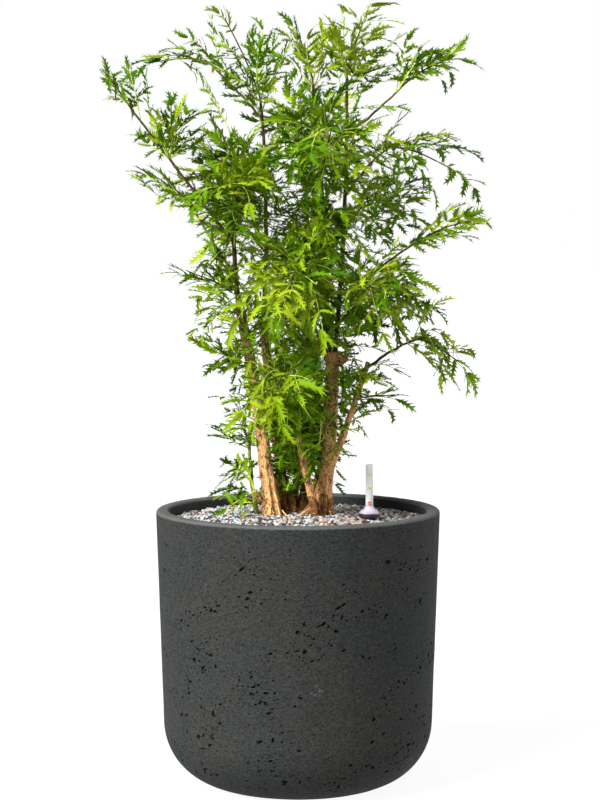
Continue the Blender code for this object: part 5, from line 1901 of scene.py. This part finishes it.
def leaf_finish(tone, looks):
    """A smooth, slightly waxy leaf, of a green between the deep one and the lime one."""
    finish = Finish("leaf_green_" + str(tone + 1), 0.5, gloss=0.03)
    share = LEAF_TONES[tone] * 2.0
    if share < 1.0:
        finish.colour(between(looks.deep, looks.green, share))
    else:
        finish.colour(between(looks.green, looks.lime, share - 1.0))
    return finish.material


class ARALIA_OT_foliage(bpy.types.Operator):
    """Grow twigs, stalks and leaflets in the space of each mass of foliage"""

    bl_idname = "aralia.foliage"
    bl_label = "Foliage"

    def execute(self, context):
        looks = context.scene.aralia_foliage
        masses = {mass[0]: Mass(*mass) for mass in MASSES}
        foliage = Foliage(looks)
        for group, names in LEAF_GROUPS.items():
            for name in names:
                grow_mass(foliage, masses[name], list(masses.values()), group)
        grow_outer_fronds(foliage)
        grow_shoots(foliage)
        finishes = [leaf_finish(tone, looks) for tone in range(len(LEAF_TONES))]
        templates = [leaf_template(kind, sign) for sign in (1.0, -1.0) for kind in LEAF_KINDS]
        for group, kinds in foliage.leaflets.items():
            mesh = leaf_mesh(kinds, templates)
            nodes = ["foliage_" + name for name in LEAF_GROUPS.get(group, ())]
            add_piece("leaves_" + group, mesh, finishes, nodes)
        finish = Finish("leaf_stalk", 0.5, gloss=0.1)
        stalk = finish.mottled(finish.grain(120.0), (0.35, STALK_COLOURS[0]), (0.65, STALK_COLOURS[1]))
        add_piece("leaf_stalks", tube_mesh(foliage.stalks, STALK_SIDES), [stalk])
        twig = young_bark_finish("twig_bark", context.scene.aralia_bark)
        add_piece("twigs", tube_mesh(foliage.twigs, TWIG_SIDES), [twig])
        return {"FINISHED"}


# Stage

class StageLooks(bpy.types.PropertyGroup):
    """The camera and the light."""

    camera: FloatVectorProperty(
        name="Camera", description="Place of the camera", subtype="TRANSLATION", unit="LENGTH", size=3,
        default=(0.0024, -2.5, 0.6411),
    )
    pitch: number_setting("Pitch", "How far the camera looks down, in radians", 0.0721)
    lens: number_setting("Lens", "Focal length in millimetres", 94.31, 300.0)
    sky: number_setting("Surround", "Strength of the pale surround's light", 0.54)
    sun: number_setting("Sun", "Strength of the soft main light", 9.8)
    edge: number_setting("Edge Light", "Strength of the light on the right-hand edges", 2.0)


WHITE = (1.0, 1.0, 1.0)
FLOOR_GREY = (0.08, 0.08, 0.08)
FLOOR_GLOW = 0.93
FLOOR_SIZE = 60.0


class ARALIA_OT_stage(bpy.types.Operator):
    """Set up the pale floor, the soft light and the camera"""

    bl_idname = "aralia.stage"
    bl_label = "Stage"

    def execute(self, context):
        scene, looks = context.scene, context.scene.aralia_stage
        self.floor()
        self.surround(scene, looks)
        self.lamp("sun", looks.sun, 30, (-0.95, -0.8, 0.95))
        self.lamp("edge_light", looks.edge, 50, (1.0, 0.3, 0.25))
        self.camera(scene, looks)
        scene.view_settings.view_transform = "Standard"
        return {"FINISHED"}

    def floor(self):
        """A wide pale floor."""
        mesh = bpy.data.meshes.new("floor")
        with reshaped(mesh) as shape:
            bmesh.ops.create_grid(shape, x_segments=1, y_segments=1, size=FLOOR_SIZE)
        floor = add_object("floor", mesh)
        pale = Finish("pale_floor", 0.9, gloss=0.0)
        pale.colour(FLOOR_GREY)
        pale.surface("Emission Color", opaque(WHITE))
        pale.surface("Emission Strength", FLOOR_GLOW)
        mesh.materials.append(pale.material)

    def surround(self, scene, looks):
        """A world that the camera sees as white, and that lights the plant by a share of that."""
        world = bpy.data.worlds.new("surround")
        world.use_nodes = True
        wiring = Wiring(world.node_tree)
        background = world.node_tree.nodes["Background"]
        wiring.feed(background.inputs["Color"], opaque(WHITE))
        seen = Signal(wiring, wiring.out("ShaderNodeLightPath", socket="Is Camera Ray"))
        wiring.feed(background.inputs["Strength"], looks.sky + (1.0 - looks.sky) * seen)
        scene.world = world

    def lamp(self, name, strength, softness, direction):
        """A sun that shines from a direction, softer the wider it is in degrees."""
        sun = bpy.data.lights.new(name, "SUN")
        sun.energy = strength
        sun.angle = math.radians(softness)
        lamp = add_object(name, sun)
        lamp.rotation_euler = Vector(direction).to_track_quat("Z", "Y").to_euler()

    def camera(self, scene, looks):
        """The camera at the viewing angle of the reference."""
        lens = bpy.data.cameras.new("camera")
        lens.lens = looks.lens
        lens.sensor_width = 36.0
        lens.clip_end = 200.0
        camera = add_object("camera", lens)
        camera.location = looks.camera
        camera.rotation_euler = (math.pi / 2 - looks.pitch, 0.0, 0.0)
        scene.camera = camera


class ARALIA_PT_panel(bpy.types.Panel):
    """The plant's pieces, with their sizes and colours"""

    bl_idname = "ARALIA_PT_panel"
    bl_label = "Potted Ming Aralia"
    bl_space_type = "VIEW_3D"
    bl_region_type = "UI"
    bl_category = "Aralia"

    def draw(self, context):
        for name, looks, operator in PIECES:
            box = self.layout.box()
            box.operator(operator.bl_idname)
            settings = getattr(context.scene, name)
            for key in looks.__annotations__:
                box.prop(settings, key)


PIECES = (
    ("aralia_stage", StageLooks, ARALIA_OT_stage),
    ("aralia_planter", PlanterLooks, ARALIA_OT_planter),
    ("aralia_gravel", GravelLooks, ARALIA_OT_gravel),
    ("aralia_gauge", GaugeLooks, ARALIA_OT_gauge),
    ("aralia_bark", BarkLooks, ARALIA_OT_bark),
    ("aralia_foliage", FoliageLooks, ARALIA_OT_foliage),
)


def register():
    """Register the settings, the operators and the panel."""
    for name, looks, operator in PIECES:
        bpy.utils.register_class(looks)
        bpy.utils.register_class(operator)
        setattr(bpy.types.Scene, name, PointerProperty(type=looks))
    bpy.utils.register_class(ARALIA_PT_panel)


def unregister():
    """Undo what register did."""
    bpy.utils.unregister_class(ARALIA_PT_panel)
    for name, looks, operator in reversed(PIECES):
        delattr(bpy.types.Scene, name)
        bpy.utils.unregister_class(operator)
        bpy.utils.unregister_class(looks)


def main():
    """Build every piece."""
    register()
    bpy.ops.aralia.stage()
    bpy.ops.aralia.planter()
    bpy.ops.aralia.gravel()
    bpy.ops.aralia.gauge()
    bpy.ops.aralia.bark()
    bpy.ops.aralia.foliage()


if __name__ == "__main__":
    main()
